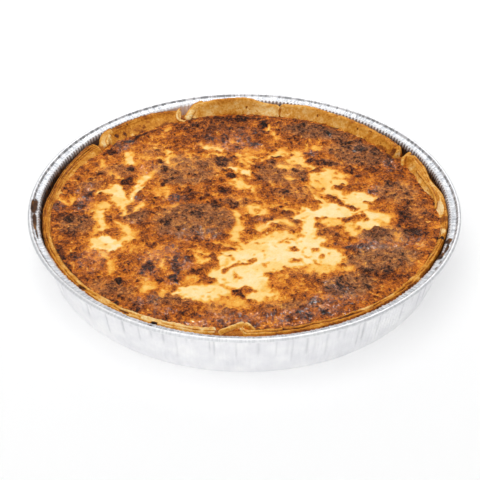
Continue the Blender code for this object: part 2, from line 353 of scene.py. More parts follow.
def tinProfile():
    # Radius and height from under the middle, up the outside, round the rolled edge, down the inside
    # to the middle. Two more columns give the shares of the crimps and of the creases at each point.
    foil, corner = tin["foil"], (tin["baseRadius"], tin["cornerRadius"])
    ring, half, rise = tin["ringRadius"], tin["ringWidth"] / 2, tin["ringRise"]
    roll = (tin["rimRadius"] - tin["rollRadius"], tin["rimTop"] - tin["rollRadius"])
    flange = (tin["flangeRadius"], tin["flangeHeight"])
    outerTop = (flange[0], flange[1] - foil)
    innerTop = (flange[0] - foil, flange[1] - tin["innerStep"])
    foot = (corner[0] + corner[1], corner[1])
    innerFoot = (foot[0] - foil, corner[1])
    bead = arcPoints(roll, tin["rollRadius"], -125, 165, 13)
    grooveIn, grooveDown = tin["grooveAt"]
    groove = (roll[0] - tin["rollRadius"] - grooveIn, tin["rimTop"] - grooveDown)

    def pressed(lift):
        return np.array([(ring + place * half, lift + share * rise)
                         for place, share in ((-1, 0), (-0.5, 0.75), (0, 1), (0.5, 0.75), (1, 0))])

    parts = (
        (pressed(0), 0, 0),
        (arcPoints(corner, corner[1], -90, 0, 5), 0.1, 0.4),
        (linePoints(foot, outerTop, 13)[1:], 0.3, 1),
        (linePoints(outerTop, bead[0], 3), 0.6, 0.3),
        (bead, 0, 0),
        (linePoints(groove, (flange[0] + 0.5, flange[1] + 0.15), 7), 0.25, 0),
        (linePoints((flange[0] + 0.1, flange[1] - 0.1), innerTop, 3), 0.8, 0.5),
        (linePoints(innerTop, innerFoot, 9, 1.6), 1, 1),
        (arcPoints(corner, corner[1] - foil, 0, -90, 4), 0.2, 0),
        (pressed(foil)[::-1], 0, 0),
    )
    rows = [np.column_stack([points, np.tile((crimp, crease), (len(points), 1))])
            for points, crimp, crease in parts]
    return np.concatenate(rows)


def creaseDepths(degrees, heights):
    # Narrow upright dents at jittered angles. Each starts under the flange and fades out at its own
    # height.
    chance = np.random.default_rng(5)
    count = tin["creases"]
    angles = (np.arange(count) + chance.uniform(-0.38, 0.38, count)) * 360 / count
    lowest = chance.uniform(4, 26, count)
    depths = chance.uniform(0.25, 1.0, count) * chance.choice([-1, 1], count, p=(0.3, 0.7))
    widths = chance.uniform(0.35, 0.9, count)  # degrees
    total = np.zeros((len(degrees), len(heights)))
    for angle, low, depth, width in zip(angles, lowest, depths, widths):
        reach = smooth((heights - low) / 5)
        total += depth * bell(turnFrom(degrees, angle), width * 0.5)[:, None] * reach[None, :]
    return total


def stainAndShadeShares(profile, degrees, x, y, wave, inside):
    # Share of burnt drips and painted shade: ragged burnt ellipses on the flange, and stretches down the
    # wall's inside that are partly burnt stain and partly painted shade in the gap beside the crust,
    # darkest between the crimps.
    radius, height = profile[:, 0][None, :], profile[:, 1][None, :]
    ragged = ripples(x, y, height, (0.8, 2.2, 8), (0.5, 6, 9))
    stainAndShade = np.zeros(x.shape)
    for angle, middle, length, width, strength in tinStains:
        along = np.radians(turnFrom(degrees, angle))[:, None] * middle / length
        reach = np.hypot(along, (radius - middle) / width) + 0.3 * ragged
        stainAndShade = np.maximum(stainAndShade, strength * smooth((1.15 - reach) / 0.3) * inside)
    lowest, highest = tin["stainAndShadeHeights"]
    deep = inside & (profile[:, 1] < highest) & (profile[:, 1] > lowest)
    full, ease = tin["stainAndShadeBelow"]
    filled = np.maximum(smooth(0.15 + 1.3 * wave), smooth((full - height) / ease))
    # Painted shade: the gap beside the crust darkened down the wall, most between the crimps and lower
    # down.
    for angle, width, strength, kept in wallStainsAndShade:
        along = np.abs(turnFrom(degrees, angle))[:, None] / width
        share = strength * smooth((1.15 - along + 0.25 * ragged) / 0.3) * deep
        stainAndShade = np.maximum(stainAndShade, share * np.maximum(kept, filled))
    return stainAndShade


def makeTin(finish):
    # Surface of turn and profile: the profile's radius with its share of the crimps, a cosine wave that
    # only goes inward on the inside, and of the soft dents, less its share of the creases.
    profile = tinProfile()
    degrees = np.arange(tin["columns"]) * 360 / tin["columns"]
    turn = np.radians(degrees)[:, None]
    radius, height, crimp, crease = (profile[:, n][None, :] for n in range(4))
    x, y = radius * np.cos(turn), radius * np.sin(turn)
    wave = np.cos(turn * tin["crimps"])
    patchRadius, patchSize = tin["crimpPatches"]
    uneven = 0.75 + 0.5 * ripple(np.cos(turn) * patchRadius, np.sin(turn) * patchRadius, 0, patchSize, 4)
    dent = ripple(x, y, height, tin["dentSizes"][0], 2) * np.clip(crease + 0.25 * crimp, 0, 1)
    dent += 0.4 * ripple(x, y, height, tin["dentSizes"][1], 3) * crease
    inside = np.arange(len(profile)) > np.argmax(profile[:, 1])
    creases = creaseDepths(degrees, profile[:, 1]) * crease
    out = tin["crimpDepth"] * (wave - inside) * uneven * crimp * 0.5 + tin["dents"] * dent
    out -= tin["creaseDepth"] * creases
    out = np.where(radius > tin["rimRadius"] - 1.5, np.minimum(out, 0), out)
    edge = np.clip((radius - tin["edgeStart"]) / 2, 0, 1)
    rise, size = tin["edgeWave"]
    wavy = rise * ripple(x, y, 0, size, 6) * edge - 0.10 * edge
    points = turned(radius + out, turn, np.minimum(height + wavy, tin["rimTop"]))
    points[..., 2] = np.where(height < 0.01, 0, points[..., 2])
    (combStart, startWidth), (combEnd, endWidth) = tin["combStart"], tin["combEnd"]
    comb = inside * smooth((radius - combStart) / startWidth) * smooth((combEnd - radius) / endWidth)
    points[..., 2] += tin["combDepth"] * (wave * uneven - 0.3) * comb
    # Burnt drips, and painted shade in the gap beside the crust.
    stainAndShade = stainAndShadeShares(profile, degrees, x, y, wave, inside)
    points[..., 2] += tin["stainRise"] * stainAndShade * (radius > 124)
    lipStart, lipEnd = tin["lipRadius"]
    # Painted shade: full on the flat flange, 0.35 on the top of the rolled edge.
    lip = 1.0 * (inside & (profile[:, 0] > lipStart) & (profile[:, 0] < lipEnd))
    lip = np.maximum(lip, 0.35 * (profile[:, 1] > 31.6))
    # Painted shadow in the groove beside the rolled edge.
    groove = inside * bell(radius - tin["grooveRadius"], tin["grooveWidth"]) * (height > 30)
    points = np.concatenate([points.reshape(-1, 3), [(0, 0, 0), (0, 0, tin["foil"])]])
    faceSets = latheFaces(tin["columns"], len(profile))
    fields = {"stainAndShade": stainAndShade, "lip": lip, "groove": groove,
              # The dents field is painted shade in the creases of the wall's outside.
              "dents": np.clip(np.abs(creases), 0, 1) * ~inside}
    values = {key: np.concatenate([(field + 0 * x).ravel(), (0, 0)]) for key, field in fields.items()}
    return makePiece("foilTin", points * mm, faceSets, finish, values)


def foilFinish():
    foil = Finish("crimpedFoil")
    stainAndShade, lip, groove = foil.field("stainAndShade"), foil.field("lip"), foil.field("groove")
    around = foil.roundPlace(0.125, 0.10)
    bright = foil.cloud(0.0, 1.0, 0.011, 4, 0.6)
    colour = foil.ramp(bright, ((0.0, "EAEAED"), (0.5, "F2F2F4"), (1.0, "FAFAFA")))
    combShadeTicks = foil.stretchTo(foil.noise(0.0011, 2, 0.6, place=around), 0.42, 0.62, 0.45, 1.0)
    # Painted shade on the flange and the rolled edge, broken into radial ticks that stand in for the
    # crimps' comb shading.
    colour = foil.mix(foil.times(combShadeTicks, lip), colour, fromHex("A2A5AA"))
    # Painted shade in the wall's creases.
    colour = foil.mix(foil.times(foil.field("dents"), 0.4), colour, fromHex("8C8F95"))
    # Painted shadow in the groove, as a broken dark line.
    grooveShadowDashes = foil.stretchTo(foil.noise(0.0024, 3, 0.6, place=around), 0.44, 0.56, 0.05, 0.9)
    colour = foil.mix(foil.times(grooveShadowDashes, groove), colour, fromHex("787A7E"))
    # One dark ramp for the burnt drips and for the painted shade in the gap beside the crust.
    burntAndShaded = foil.ramp(foil.noise(0.003, 3), ((0.35, "241004"), (0.55, "56300E"), (0.75, "A06C2A")))
    foil.put("Base Color", foil.mix(stainAndShade, colour, burntAndShaded))
    foil.put("Metallic", foil.times(foil.math("SUBTRACT", 1.0, stainAndShade), 0.65))
    foil.put("Roughness", foil.math("MAXIMUM", foil.cloud(0.40, 0.56, 0.006), foil.times(stainAndShade, 0.9)))
    fine = foil.bump(foil.noise(0.0011, 2), 0.00008, 0.6)
    upright = foil.bump(foil.noise(0.0019, 3, 0.6, place=around), 0.00028, 0.8, fine)
    foil.put("Normal", foil.bump(foil.noise(0.0065, 3, 0.6), 0.0004, 0.6, upright))
    return foil.material


foilTin = makeTin(foilFinish())
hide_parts("foil_tin")


# Pastry case

crust = {
    "underside": 1.9,
    "highest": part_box("pastry_crust")[1][2] / mm - 0.1,
    "floorEdge": 107.0,
    "floorTop": 6.1,
    "innerLean": 4.4,  # at the back, the inner face is this much nearer the middle at the filling
    "footBulge": 4.0,  # and this much more where the dough sags inward
    "footBulgeAt": (127, 13),  # its angle and its spread in degrees
    "panelFoot": 18.0,  # height of the panels' hidden lower edge
    "step": 0.5,  # between the columns of points, round the crust
    "sectionSteps": (8, 25, 16),  # of a panel: up the outside, over the crown, down the inside
    "endRound": 2.0,  # of a panel, and of a fold
    "foldEndRound": 1.2,
    "foldSides": 20,
    "pits": 0.22,
    "waves": 0.34,
    "scorchAndShadeWidth": 0.35,  # of the darker band at the foot of the inner face, partly scorching and partly painted shade where the crust meets the filling
    "arcRadius": 121.0,  # where lengths along the crust are measured
    "crownDrop": 1.5,  # from the crown to both its edges
    "belowFilling": 3.0,  # the inner face goes on this far below the filling's edge
    "cutWidth": 2.8,  # of the pale cut ends of the panels
    "dishBake": 0.62,
}
crustEdge = (  # round the crust: degrees, height of the crown, outer radius there, thickness there (mm)
    (2, 31, 122.4, 4.6), (10, 31.2, 119.4, 5.4), (19, 31.5, 121.4, 5.6), (25, 32, 121.6, 4.6),
    (31, 31.2, 120.4, 4.8), (43, 31.4, 120.8, 4.4), (57, 32, 121.4, 4.4), (69, 32.7, 121.6, 4.2),
    (76, 32.2, 120.8, 4.2), (80, 31.2, 120.6, 4.2), (91, 35.2, 121.4, 4), (98, 34.8, 121.4, 4.2),
    (105, 33, 121.4, 4.6), (113, 31, 121.2, 4.6), (126, 32.4, 122.2, 4.4), (139, 32.2, 122, 4.6),
    (149, 31.2, 120.6, 6.4), (158, 31.2, 119.6, 5.2), (172, 31, 119.4, 3.8), (186, 30.8, 121.6, 3.8),
    (205, 29.9, 122.6, 4.2), (235, 29.6, 122.6, 4.6), (258, 30, 122.4, 6), (285, 30.2, 122.5, 6.2),
    (310, 30, 122.4, 4.6), (330, 30, 121.6, 3.4), (347, 30.8, 122.6, 3.2),
)
crustLayers = (  # degrees, place and depth of the outer groove, place and depth of the inner groove
    (0, 0.45, 0.5, 0.8, 0.3), (20, 0.5, 0.6, 0.8, 0.2), (60, 0.4, 0.15, 0.8, 0.05),
    (95, 0.35, 0.2, 0.8, 0.05), (125, 0.4, 0.3, 0.75, 0.1), (148, 0.34, 1.2, 0.66, 1),
    (165, 0.38, 1, 0.68, 0.8), (190, 0.45, 0.8, 0.7, 0.3), (225, 0.42, 0.9, 0.75, 0.2),
    (255, 0.45, 1.1, 0.72, 0.4), (290, 0.52, 1.2, 0.8, 0.2), (310, 0.48, 1, 0.78, 0.2),
    (335, 0.5, 0.8, 0.8, 0.2),
)
crustRidges = (  # degrees, height of the thin flaky ridges along the crown (mm)
    (10, 0.05), (60, 0.06), (100, 0.08), (135, 0.16), (150, 0.6), (190, 0.46), (215, 0.3), (262, 0.3),
    (290, 0.22), (330, 0.2), (350, 0.1),
)
crustBake = (  # degrees, how brown the inner face, the crown and the outer edge are (0 pale, 1 burnt)
    (5, 0.3, 0.34, 0.5), (18, 0.34, 0.38, 0.62), (32, 0.5, 0.5, 0.66), (50, 0.42, 0.44, 0.64),
    (68, 0.36, 0.38, 0.6), (82, 0.26, 0.28, 0.52), (97, 0.38, 0.42, 0.58), (108, 0.3, 0.32, 0.5),
    (118, 0.56, 0.55, 0.68), (135, 0.56, 0.52, 0.7), (150, 0.44, 0.4, 0.62), (170, 0.47, 0.43, 0.68),
    (195, 0.52, 0.42, 0.66), (220, 0.44, 0.28, 0.56), (248, 0.3, 0.1, 0.4), (266, 0.26, 0.16, 0.44),
    (280, 0.5, 0.42, 0.7), (300, 0.54, 0.46, 0.74), (318, 0.5, 0.44, 0.74), (338, 0.36, 0.4, 0.6),
)
# Marks on the pastry: degrees, place along the section (1 to 2 over the crown, 2 to 3 down the inner
# face), half length along the crust (mm), half extent in place, browning.
# The two marks at 77.2 degrees are painted shade in the slit between two panels, and the small ones at 64
# and 48.5 degrees are painted shade in pits.
crustMarks = (
    (356.8, 2, 7, 0.48, 0.04), (350.6, 1.9, 4, 1.1, 0.68), (344.8, 1.9, 3, 0.7, 0.08),
    (77.2, 2.7, 0.9, 0.3, 1), (77.2, 2.1, 0.5, 0.5, 0.72), (341.4, 1.5, 1.5, 0.6, 1),
    (2, 2.5, 5, 0.25, 0.66), (20.5, 2.5, 2.5, 0.3, 0.2), (14, 2.7, 6, 0.2, 0.7),
    (134.5, 2.3, 1.4, 0.12, 0.85), (131.8, 1.8, 1, 0.16, 0.85), (137.6, 2.2, 1.6, 0.12, 0.9),
    (128.5, 2.55, 3.2, 0.12, 0.8), (124.4, 2.7, 1.4, 0.1, 0.12), (118.4, 2.5, 4.5, 0.12, 0.74),
    (135, 2.7, 5, 0.16, 0.82), (129.5, 2.8, 6, 0.12, 0.76), (122, 2.62, 4, 0.1, 0.72),
    (126.5, 2.3, 1.2, 0.08, 0.8), (121, 2.85, 2.4, 0.1, 0.1), (132.5, 2.5, 1.6, 0.08, 0.2),
    (115.6, 2.7, 1.8, 0.2, 0.1), (140.4, 1.7, 1.2, 0.5, 0.2), (139.5, 1.5, 0.8, 0.1, 0.9),
    (106, 2.8, 5, 0.16, 0.1), (97, 2.8, 12, 0.1, 0.8), (89, 2.3, 0.7, 0.08, 0.8), (82, 2.3, 6, 0.4, 0.16),
    (64, 2.2, 0.8, 0.08, 0.8), (48.5, 2.1, 0.7, 0.08, 0.8), (55.4, 2.3, 4.5, 0.22, 0.27),
    (69, 2.4, 4, 0.2, 0.28), (46, 1.9, 3.4, 0.2, 0.3), (36, 2.5, 5, 0.25, 0.7), (61, 2.7, 9, 0.14, 0.74),
    (31, 2.2, 2.6, 0.3, 0.72), (303.2, 1.7, 5, 0.3, 0.16), (311, 2, 4, 0.5, 0.22),
    (296, 1.5, 5, 0.14, 0.85), (284.6, 2, 5, 0.3, 0.72), (245.6, 1.6, 6, 0.4, 0.12),
    (230, 1.5, 5, 0.4, 0.24), (223, 1.3, 4, 0.2, 0.85), (254, 1.7, 4, 0.3, 0.18),
    (238, 1.3, 3, 0.16, 0.8), (247, 1.15, 1.6, 0.2, 0.95), (212, 1.9, 4, 0.3, 0.3),
    (200, 1.8, 5, 0.2, 0.28), (174, 2.6, 5, 0.3, 0.84), (186, 2.6, 5, 0.3, 0.8), (196, 2.5, 5, 0.3, 0.74),
    (322, 1.5, 3, 0.6, 0.34),
)
crustFolds = (  # path of degrees, radius, height; half width, half thickness (mm); browning at its ends
    (((111.6, 120, 30.6), (113.3, 116.6, 29.6), (113.9, 112.6, 27.8), (112.6, 109.6, 26.6),
      (110.6, 108.6, 26.2)), 1, 0.9, 0.3, 0.06),
    (((111, 110.2, 26.4), (109.4, 113.2, 28.2), (107.2, 117.4, 30.2), (105.4, 119, 31.6),
      (103.4, 119.4, 32.2)), 2.5, 1, 0.02, 0.34),
    (((137.6, 119.6, 30.6), (140.8, 118.8, 30.2), (143.4, 116.4, 28.8), (144.6, 113.4, 27.2)),
     2.9, 1.7, 0.3, 0.08),
    (((139.6, 117.4, 30.8), (142, 115.2, 29.6), (143.2, 112.6, 28)), 1.3, 1, 0.12, 0.2),
    (((26.2, 120.6, 31), (25.6, 116.6, 30.4), (24.8, 113.2, 29.2), (22.6, 110.8, 27.6)),
     1.5, 1, 0.36, 0.26),
    (((17.5, 114.6, 30), (11, 115, 30.4), (4, 116.2, 30.8), (358.4, 116.4, 30.6), (355.6, 115.4, 29.8)),
     1, 0.8, 0.38, 0.34),
    (((263.4, 120.4, 28.6), (265.6, 117.2, 29), (268, 114.4, 29.4), (270, 112.8, 29.6)),
     1.5, 1.5, 0.16, 0.06),
    (((269.8, 113, 29.5), (271.2, 115, 29.2), (272.4, 117.8, 28.6)), 1.5, 1.4, 0.12, 0.34),
)
crustPanels = (  # from and to; then at each end: inward shift, drop, lean, reach (mm and degrees)
    (28.7, 77.6, (2.2, 0.6, 0.3, 5), (0.4, 0.2, 0, 4)),
    (76.9, 111.6, (2.6, 0.9, 0.4, 5), (4.5, 8, 0, 14)),
    (112.9, 141.6, (1.6, 0.3, -1.3, 6), (3.4, 0.6, 0.4, 7)),
    (146.6, 262.4, (1.2, 0.6, -0.4, 6), (1.4, 0.5, 0.6, 6)),
    (267.6, 317.4, (4.6, 0, 0.8, 6), (0.2, 0.2, 0.2, 4)),
    (316.9, 386, (0.9, 0.1, 0.2, 4), (2.4, 0.5, 0.2, 6)),
)
fillingEdge = (  # degrees and height of the filling where it meets the crust (mm)
    (8, 27.4), (28, 25.4), (60, 25), (90, 24.8), (115, 25.8), (142, 26.4), (160, 28.4), (182, 29),
    (210, 28.2), (245, 28.2), (270, 28.6), (310, 28.2), (345, 29),
)


def crustInnerFace(degrees):
    # Radius of the crust's inner face where the filling meets it: nearer the middle at the back.
    lean = crust["innerLean"] * (0.5 + 0.5 * np.sin(np.radians(degrees)))
    middle, spread = crust["footBulgeAt"]
    lean = lean + crust["footBulge"] * bell(turnFrom(degrees, middle), spread)
    return between(crustEdge, degrees, 2) - between(crustEdge, degrees, 3) - lean


def tinWallRadius(height):
    foot = tin["baseRadius"] + tin["cornerRadius"] - tin["foil"]
    share = np.clip((height - tin["cornerRadius"]) / (tin["flangeHeight"] - tin["cornerRadius"]), 0, 1)
    return foot + (tin["flangeRadius"] - tin["foil"] - foot) * share


def panelSection(degrees, crown, outer, thickness, inner, edge):
    # One closed loop at each angle: up the outside, over the crown with its grooves and thin ridges,
    # down the inner face and under. Gives radius, height, the share of a groove, and a place along the
    # section: 0 to 1 up the outside, 1 to 2 over the crown, 2 to 3 down the inner face.
    foot = crust["panelFoot"]
    upSteps, overSteps, downSteps = crust["sectionSteps"]
    up = np.linspace(0, 1, upSteps, endpoint=False)[None, :]
    over = np.linspace(0, 1, overSteps)[None, :]
    down = np.linspace(0, 1, downSteps)[None, 1:]
    columns = (degrees, crown, outer, thickness, inner, edge)
    degrees, crown, outer, thickness, inner, edge = (value[:, None] for value in columns)
    bottomOut = tinWallRadius(foot) - 1.0
    shoulder = crown - crust["crownDrop"]
    upRadius = bottomOut + (outer - bottomOut) * np.sin(up * math.pi / 2)
    upHeight = foot + (shoulder - foot) * up
    arcLength = np.radians(degrees) * crust["arcRadius"]
    groove = np.zeros((len(degrees), over.shape[1]))
    for place, depth in ((1, 2), (3, 4)):
        wander = 0.09 * ripple(arcLength, 0, 0, 9, place)
        middle = between(crustLayers, degrees, place) + wander
        broken = 0.75 + 0.6 * ripple(arcLength, 0, 0, 5, place + 5)
        groove = groove + between(crustLayers, degrees, depth) * broken * bell(over - middle, 0.075)
    wave = np.cos(over * 2 * math.pi * 4.2 + 2.5 * ripple(arcLength, 0, 0, 14, 12))
    groove = groove + between(crustRidges, degrees, 1) * (0.5 - 0.5 * wave)
    drop = crust["crownDrop"] * np.abs(2 * over - 1) ** 2.6 + groove
    downHeight = shoulder + (edge - crust["belowFilling"] - shoulder) * down ** 0.9
    steep = np.clip((shoulder - downHeight) / np.maximum(shoulder - edge, 0.5), 0, 1.4)
    lip = outer - thickness
    radius = [upRadius, outer - over * thickness, lip + (inner - lip) * steep ** 1.25,
              bottomOut + (inner - bottomOut - 1.0) * 0.5]
    height = [upHeight, crown - drop, downHeight, foot + 0 * degrees]
    place = [up, 1 + over, 2 + down, np.array([[3.0]])]
    place = [np.broadcast_to(part, array.shape) for part, array in zip(place, radius)]
    grooves = [groove if number == 1 else 0 * array for number, array in enumerate(radius)]
    return tuple(np.concatenate(parts, 1) for parts in (radius, height, grooves, place))


def bakePanel(degrees, place, groove, points):
    # Browning of the pastry: by the table, with painted shade in the grooves, a darker band at the foot of
    # the inner face that is partly scorching and partly painted shade, and mottled, with the marks laid
    # over it.
    column = degrees[:, None]
    outside, crown, inside = (between(crustBake, column, n) for n in (3, 2, 1))
    bake = outside + (crown - outside) * smooth((place - 1.05) / 0.3)
    bake = bake + (inside - bake) * smooth((place - 1.85) / 0.3)
    x, y, z = points[..., 0], points[..., 1], points[..., 2]
    # Painted shade: darker where the crown's grooves and the troughs between its ridges sink in.
    bake = bake + 0.46 * np.clip(groove, 0, 1) - 0.06 + 0.20 * (1 - np.clip(place, 0, 1))
    # Partly scorching and partly painted shade where the crust meets the filling.
    scorchAndShade = smooth((place - 2.9 + crust["scorchAndShadeWidth"] + 0.25 * ripple(x, y, z, 5, 13)) / 0.35)
    bake = bake + 0.22 * scorchAndShade * (place < 2.95)
    bake = bake + ripples(x, y, z, (0.10, 7, 14), (0.09, 2.6, 15))
    ragged = ripples(x, y, z, (0.35, 2.8, 16), (0.2, 1.3, 17))
    for angle, middle, length, extent, value in crustMarks:
        along = np.radians(turnFrom(column, angle)) * crust["arcRadius"] / length
        reach = np.hypot(along, (place - middle) / extent) + ragged
        bake = bake + (value - bake) * smooth((1.15 - reach) / 0.35)
    return bake


def roundedEnds(along, length, reach):
    # Share of a strip's full section along its length: a quarter circle over this reach at both ends.
    closeness = np.clip(np.minimum(along, length - along) / reach, 0, 1)
    return 0.08 + 0.92 * np.sqrt(1 - (1 - closeness) ** 2)


def crustPanel(start, end, startForm, endForm):
    # A strip of folded pastry between two cuts. Its section shrinks to its core at the ends as a
    # quarter circle does, and each end is shifted in, lowered and leant over by its own form.
    length = math.radians(end - start) * crust["arcRadius"]
    ease = np.array([0, 0.12, 0.35, 0.7, 1.1, 1.5])
    along = np.concatenate([ease, np.arange(2.0, length - 1.9, crust["step"]), (length - ease)[::-1]])
    degrees = start + np.degrees(along / crust["arcRadius"])
    crown, outer, thickness = (between(crustEdge, degrees, n) for n in (1, 2, 3))
    inner, edge = crustInnerFace(degrees), between(fillingEdge, degrees, 1)
    shiftIn, lean = np.zeros(len(along)), np.zeros(len(along))
    for distance, (inward, drop, leaning, reach) in ((along, startForm), (length - along, endForm)):
        near = smooth(1 - distance / reach)
        shiftIn += inward * near
        crown = crown - drop * near
        lean += leaning * near
    crown = np.maximum(crown, edge + 0.4)
    radius, height, groove, place = panelSection(degrees, crown, outer, thickness, inner, edge)
    high = smooth((height - edge[:, None] + 1.5) / np.maximum(crown - edge, 2)[:, None])
    radius = radius - shiftIn[:, None] * (0.35 + 0.65 * high)
    full = roundedEnds(along, length, crust["endRound"])[:, None]
    coreRadius = (outer - thickness / 2 - shiftIn * 0.8)[:, None] * np.ones_like(radius)
    coreHeight = np.minimum(height, (crown - thickness * 0.45)[:, None])
    radius = coreRadius + (radius - coreRadius) * full
    height = coreHeight + (height - coreHeight) * full
    turn = np.radians(degrees[:, None] + lean[:, None] * high)
    x, y = radius * np.cos(turn), radius * np.sin(turn)
    wobble = crust["waves"] * ripples(x, y, height, (1, 13, 1), (0.6, 5, 2))
    grain = crust["pits"] * ripples(x, y, height, (1, 2.2, 3), (0.7, 1.1, 4))
    shift = (wobble * high + grain) * (place > 0.3)
    radius = radius + np.where(place < 1.5, shift, -shift)
    height = height + 0.7 * shift * ((place > 1) & (place < 2))
    points = turned(radius, turn, height)
    bake = bakePanel(degrees, place, groove, points)
    fromEnd = np.minimum(along, length - along)[:, None]
    cut = (1 - smooth(fromEnd / crust["cutWidth"])) * smooth(place - 0.7)
    return points, bake, cut


def foldPiece(path, halfWidth, halfThickness, startBake, endBake):
    # A narrow flap of dough: an ellipse carried along a path through the given places, its flat side
    # towards the middle and up, thinned at both ends as a quarter circle does.
    rows = np.array(path)
    knots = turned(rows[:, 1], np.radians(rows[:, 0]), rows[:, 2])
    knots = np.concatenate([2 * knots[:1] - knots[1:2], knots, 2 * knots[-1:] - knots[-2:-1]])
    line = []
    for before, first, second, after in zip(knots, knots[1:], knots[2:], knots[3:]):
        share = np.linspace(0, 1, 9, endpoint=False)[:, None]
        line.append(0.5 * (2 * first + (second - before) * share
                           + (2 * before - 5 * first + 4 * second - after) * share ** 2
                           + (3 * first - before - 3 * second + after) * share ** 3))
    line = np.concatenate([*line, knots[-2:-1]])
    ahead = np.gradient(line, axis=0)
    ahead /= np.linalg.norm(ahead, axis=1, keepdims=True)
    facing = np.stack([-line[:, 0], -line[:, 1], np.hypot(line[:, 0], line[:, 1])], -1)
    across = np.cross(ahead, facing)
    across /= np.linalg.norm(across, axis=1, keepdims=True)
    through = np.cross(across, ahead)[:, None, :]
    across = across[:, None, :]
    travelled = np.concatenate([[0], np.cumsum(np.linalg.norm(np.diff(line, axis=0), axis=1))])
    full = roundedEnds(travelled, travelled[-1], crust["foldEndRound"])[:, None, None]
    angle = np.radians(np.arange(0, 360, 360 / crust["foldSides"]))[None, :, None]
    wide, thick = np.cos(angle) * across, np.sin(angle) * through
    grid = line[:, None, :] + full * (halfWidth * wide + halfThickness * thick)
    rough = ripples(grid[..., 0], grid[..., 1], grid[..., 2], (0.28, 2.4, 18), (0.14, 1.1, 19))
    grid = grid + rough[..., None] * (wide + thick)
    bake = startBake + (endBake - startBake) * (travelled / travelled[-1])[:, None]
    shade = 0.25 * (1 - smooth(1.6 - np.abs(np.cos(angle[..., 0])) * 1.5))
    return grid, bake + shade + 0.25 * rough


def crustRing():
    # The rest of the case, under the panels: a turned dish whose rim stands just above the filling's
    # edge.
    degrees = np.arange(0, 360, 1.0)
    inner, edge = crustInnerFace(degrees) + 0.7, between(fillingEdge, degrees, 1)
    outer = between(crustEdge, degrees, 2)
    low = crust["underside"] + tin["cornerRadius"]
    rows = (
        (crust["floorEdge"] + 2, crust["underside"]),
        (tinWallRadius(low) - 0.9, low),
        (tinWallRadius(16) - 1.2, 16),
        (outer - 0.8, edge - 2.5),
        (outer - 1.3, edge - 0.6),
        (outer * 0.7 + inner * 0.3, edge + 0.1),
        (outer * 0.4 + inner * 0.6, edge + 0.5),
        (inner + 0.4, edge + 0.1),
        (inner, edge - 1.2),
        (crust["floorEdge"], crust["floorTop"] + 3),
        (crust["floorEdge"] - 3, crust["floorTop"]),
    )
    radius, height = (np.stack([row[n] + 0 * edge for row in rows], 1) for n in (0, 1))
    return turned(radius, np.radians(degrees)[:, None], height)


def makeCrust(finish):
    # The panels and the folds, each closed at both ends, and the dish that they stand in.
    points, faceSets, bakes, cuts = [], [], [], []
    start = 0
    crownPoint = 10  # of each loop; the ends' middles take its browning

    def addLoops(grid, bake, cut):
        # A row of closed loops with a fan over each end.
        nonlocal start
        rows, columns = grid.shape[:2]
        first = start + np.arange(columns)
        last = first + (rows - 1) * columns
        faceSets.append(gridFaces(rows, columns, closedColumns=True) + start)
        faceSets.append(fanFaces(first, start + rows * columns))
        faceSets.append(fanFaces(last[::-1], start + rows * columns + 1))
        points.append(grid.reshape(-1, 3))
        points.append(np.stack([grid[0].mean(0), grid[-1].mean(0)]))
        bakes.extend([bake.ravel(), bake[(0, -1), crownPoint]])
        cuts.extend([cut.ravel(), (1, 1)])
        start += rows * columns + 2

    for panel in crustPanels:
        addLoops(*crustPanel(*panel))
    for fold in crustFolds:
        grid, bake = foldPiece(*fold)
        addLoops(grid, bake, 0 * bake)
    ring = crustRing()
    rows, columns = ring.shape[:2]
    faceSets += latheFaces(rows, columns, start)
    points += [ring.reshape(-1, 3), [(0, 0, crust["underside"]), (0, 0, crust["floorTop"])]]
    bakes.append(np.full(rows * columns + 2, crust["dishBake"]))
    cuts.append(np.zeros(rows * columns + 2))
    points = np.concatenate(points)
    points[:, 2] = np.minimum(points[:, 2], crust["highest"])
    triangles = np.concatenate([faces for faces in faceSets if faces.shape[1] == 3])
    quads = np.concatenate([faces for faces in faceSets if faces.shape[1] == 4])
    values = {"bake": np.concatenate(bakes), "cut": np.concatenate(cuts)}
    return makePiece("pastryCrust", points * mm, [quads, triangles], finish, values)


def pastryFinish():
    pastry = Finish("bakedPastry")
    level = pastry.addTo(pastry.field("bake"), pastry.cloud(-0.5, 0.5, 0.006, 4, 0.62), 0.22)
    level = pastry.addTo(level, pastry.cloud(-0.5, 0.5, 0.0013, 3, 0.65), 0.26)
    level = pastry.addTo(level, pastry.field("cut"), -0.26)
    level = pastry.addTo(level, pastry.stretchTo(pastry.noise(0.0021, 2, 0.5), 0.66, 0.74), 0.30)
    colour = pastry.ramp(level, ((0.0, "F6DCA4"), (0.18, "EDBC6C"), (0.34, "DE9A38"), (0.48, "C87E1C"),
                                 (0.62, "AA5F10"), (0.76, "7E400B"), (0.9, "4A240A"), (1.0, "241208")))
    pastry.put("Base Color", colour)
    pastry.put("Roughness", pastry.cloud(0.50, 0.74, 0.004))
    pastry.put("Specular IOR Level", 0.2)
    fine = pastry.bump(pastry.noise(0.0009, 3, 0.6), 0.00022, 0.9)
    pastry.put("Normal", pastry.bump(pastry.noise(0.0030, 3), 0.0006, 0.8, fine))
    return pastry.material


pastryCrust = makeCrust(pastryFinish())
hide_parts("pastry_crust")


# Filling

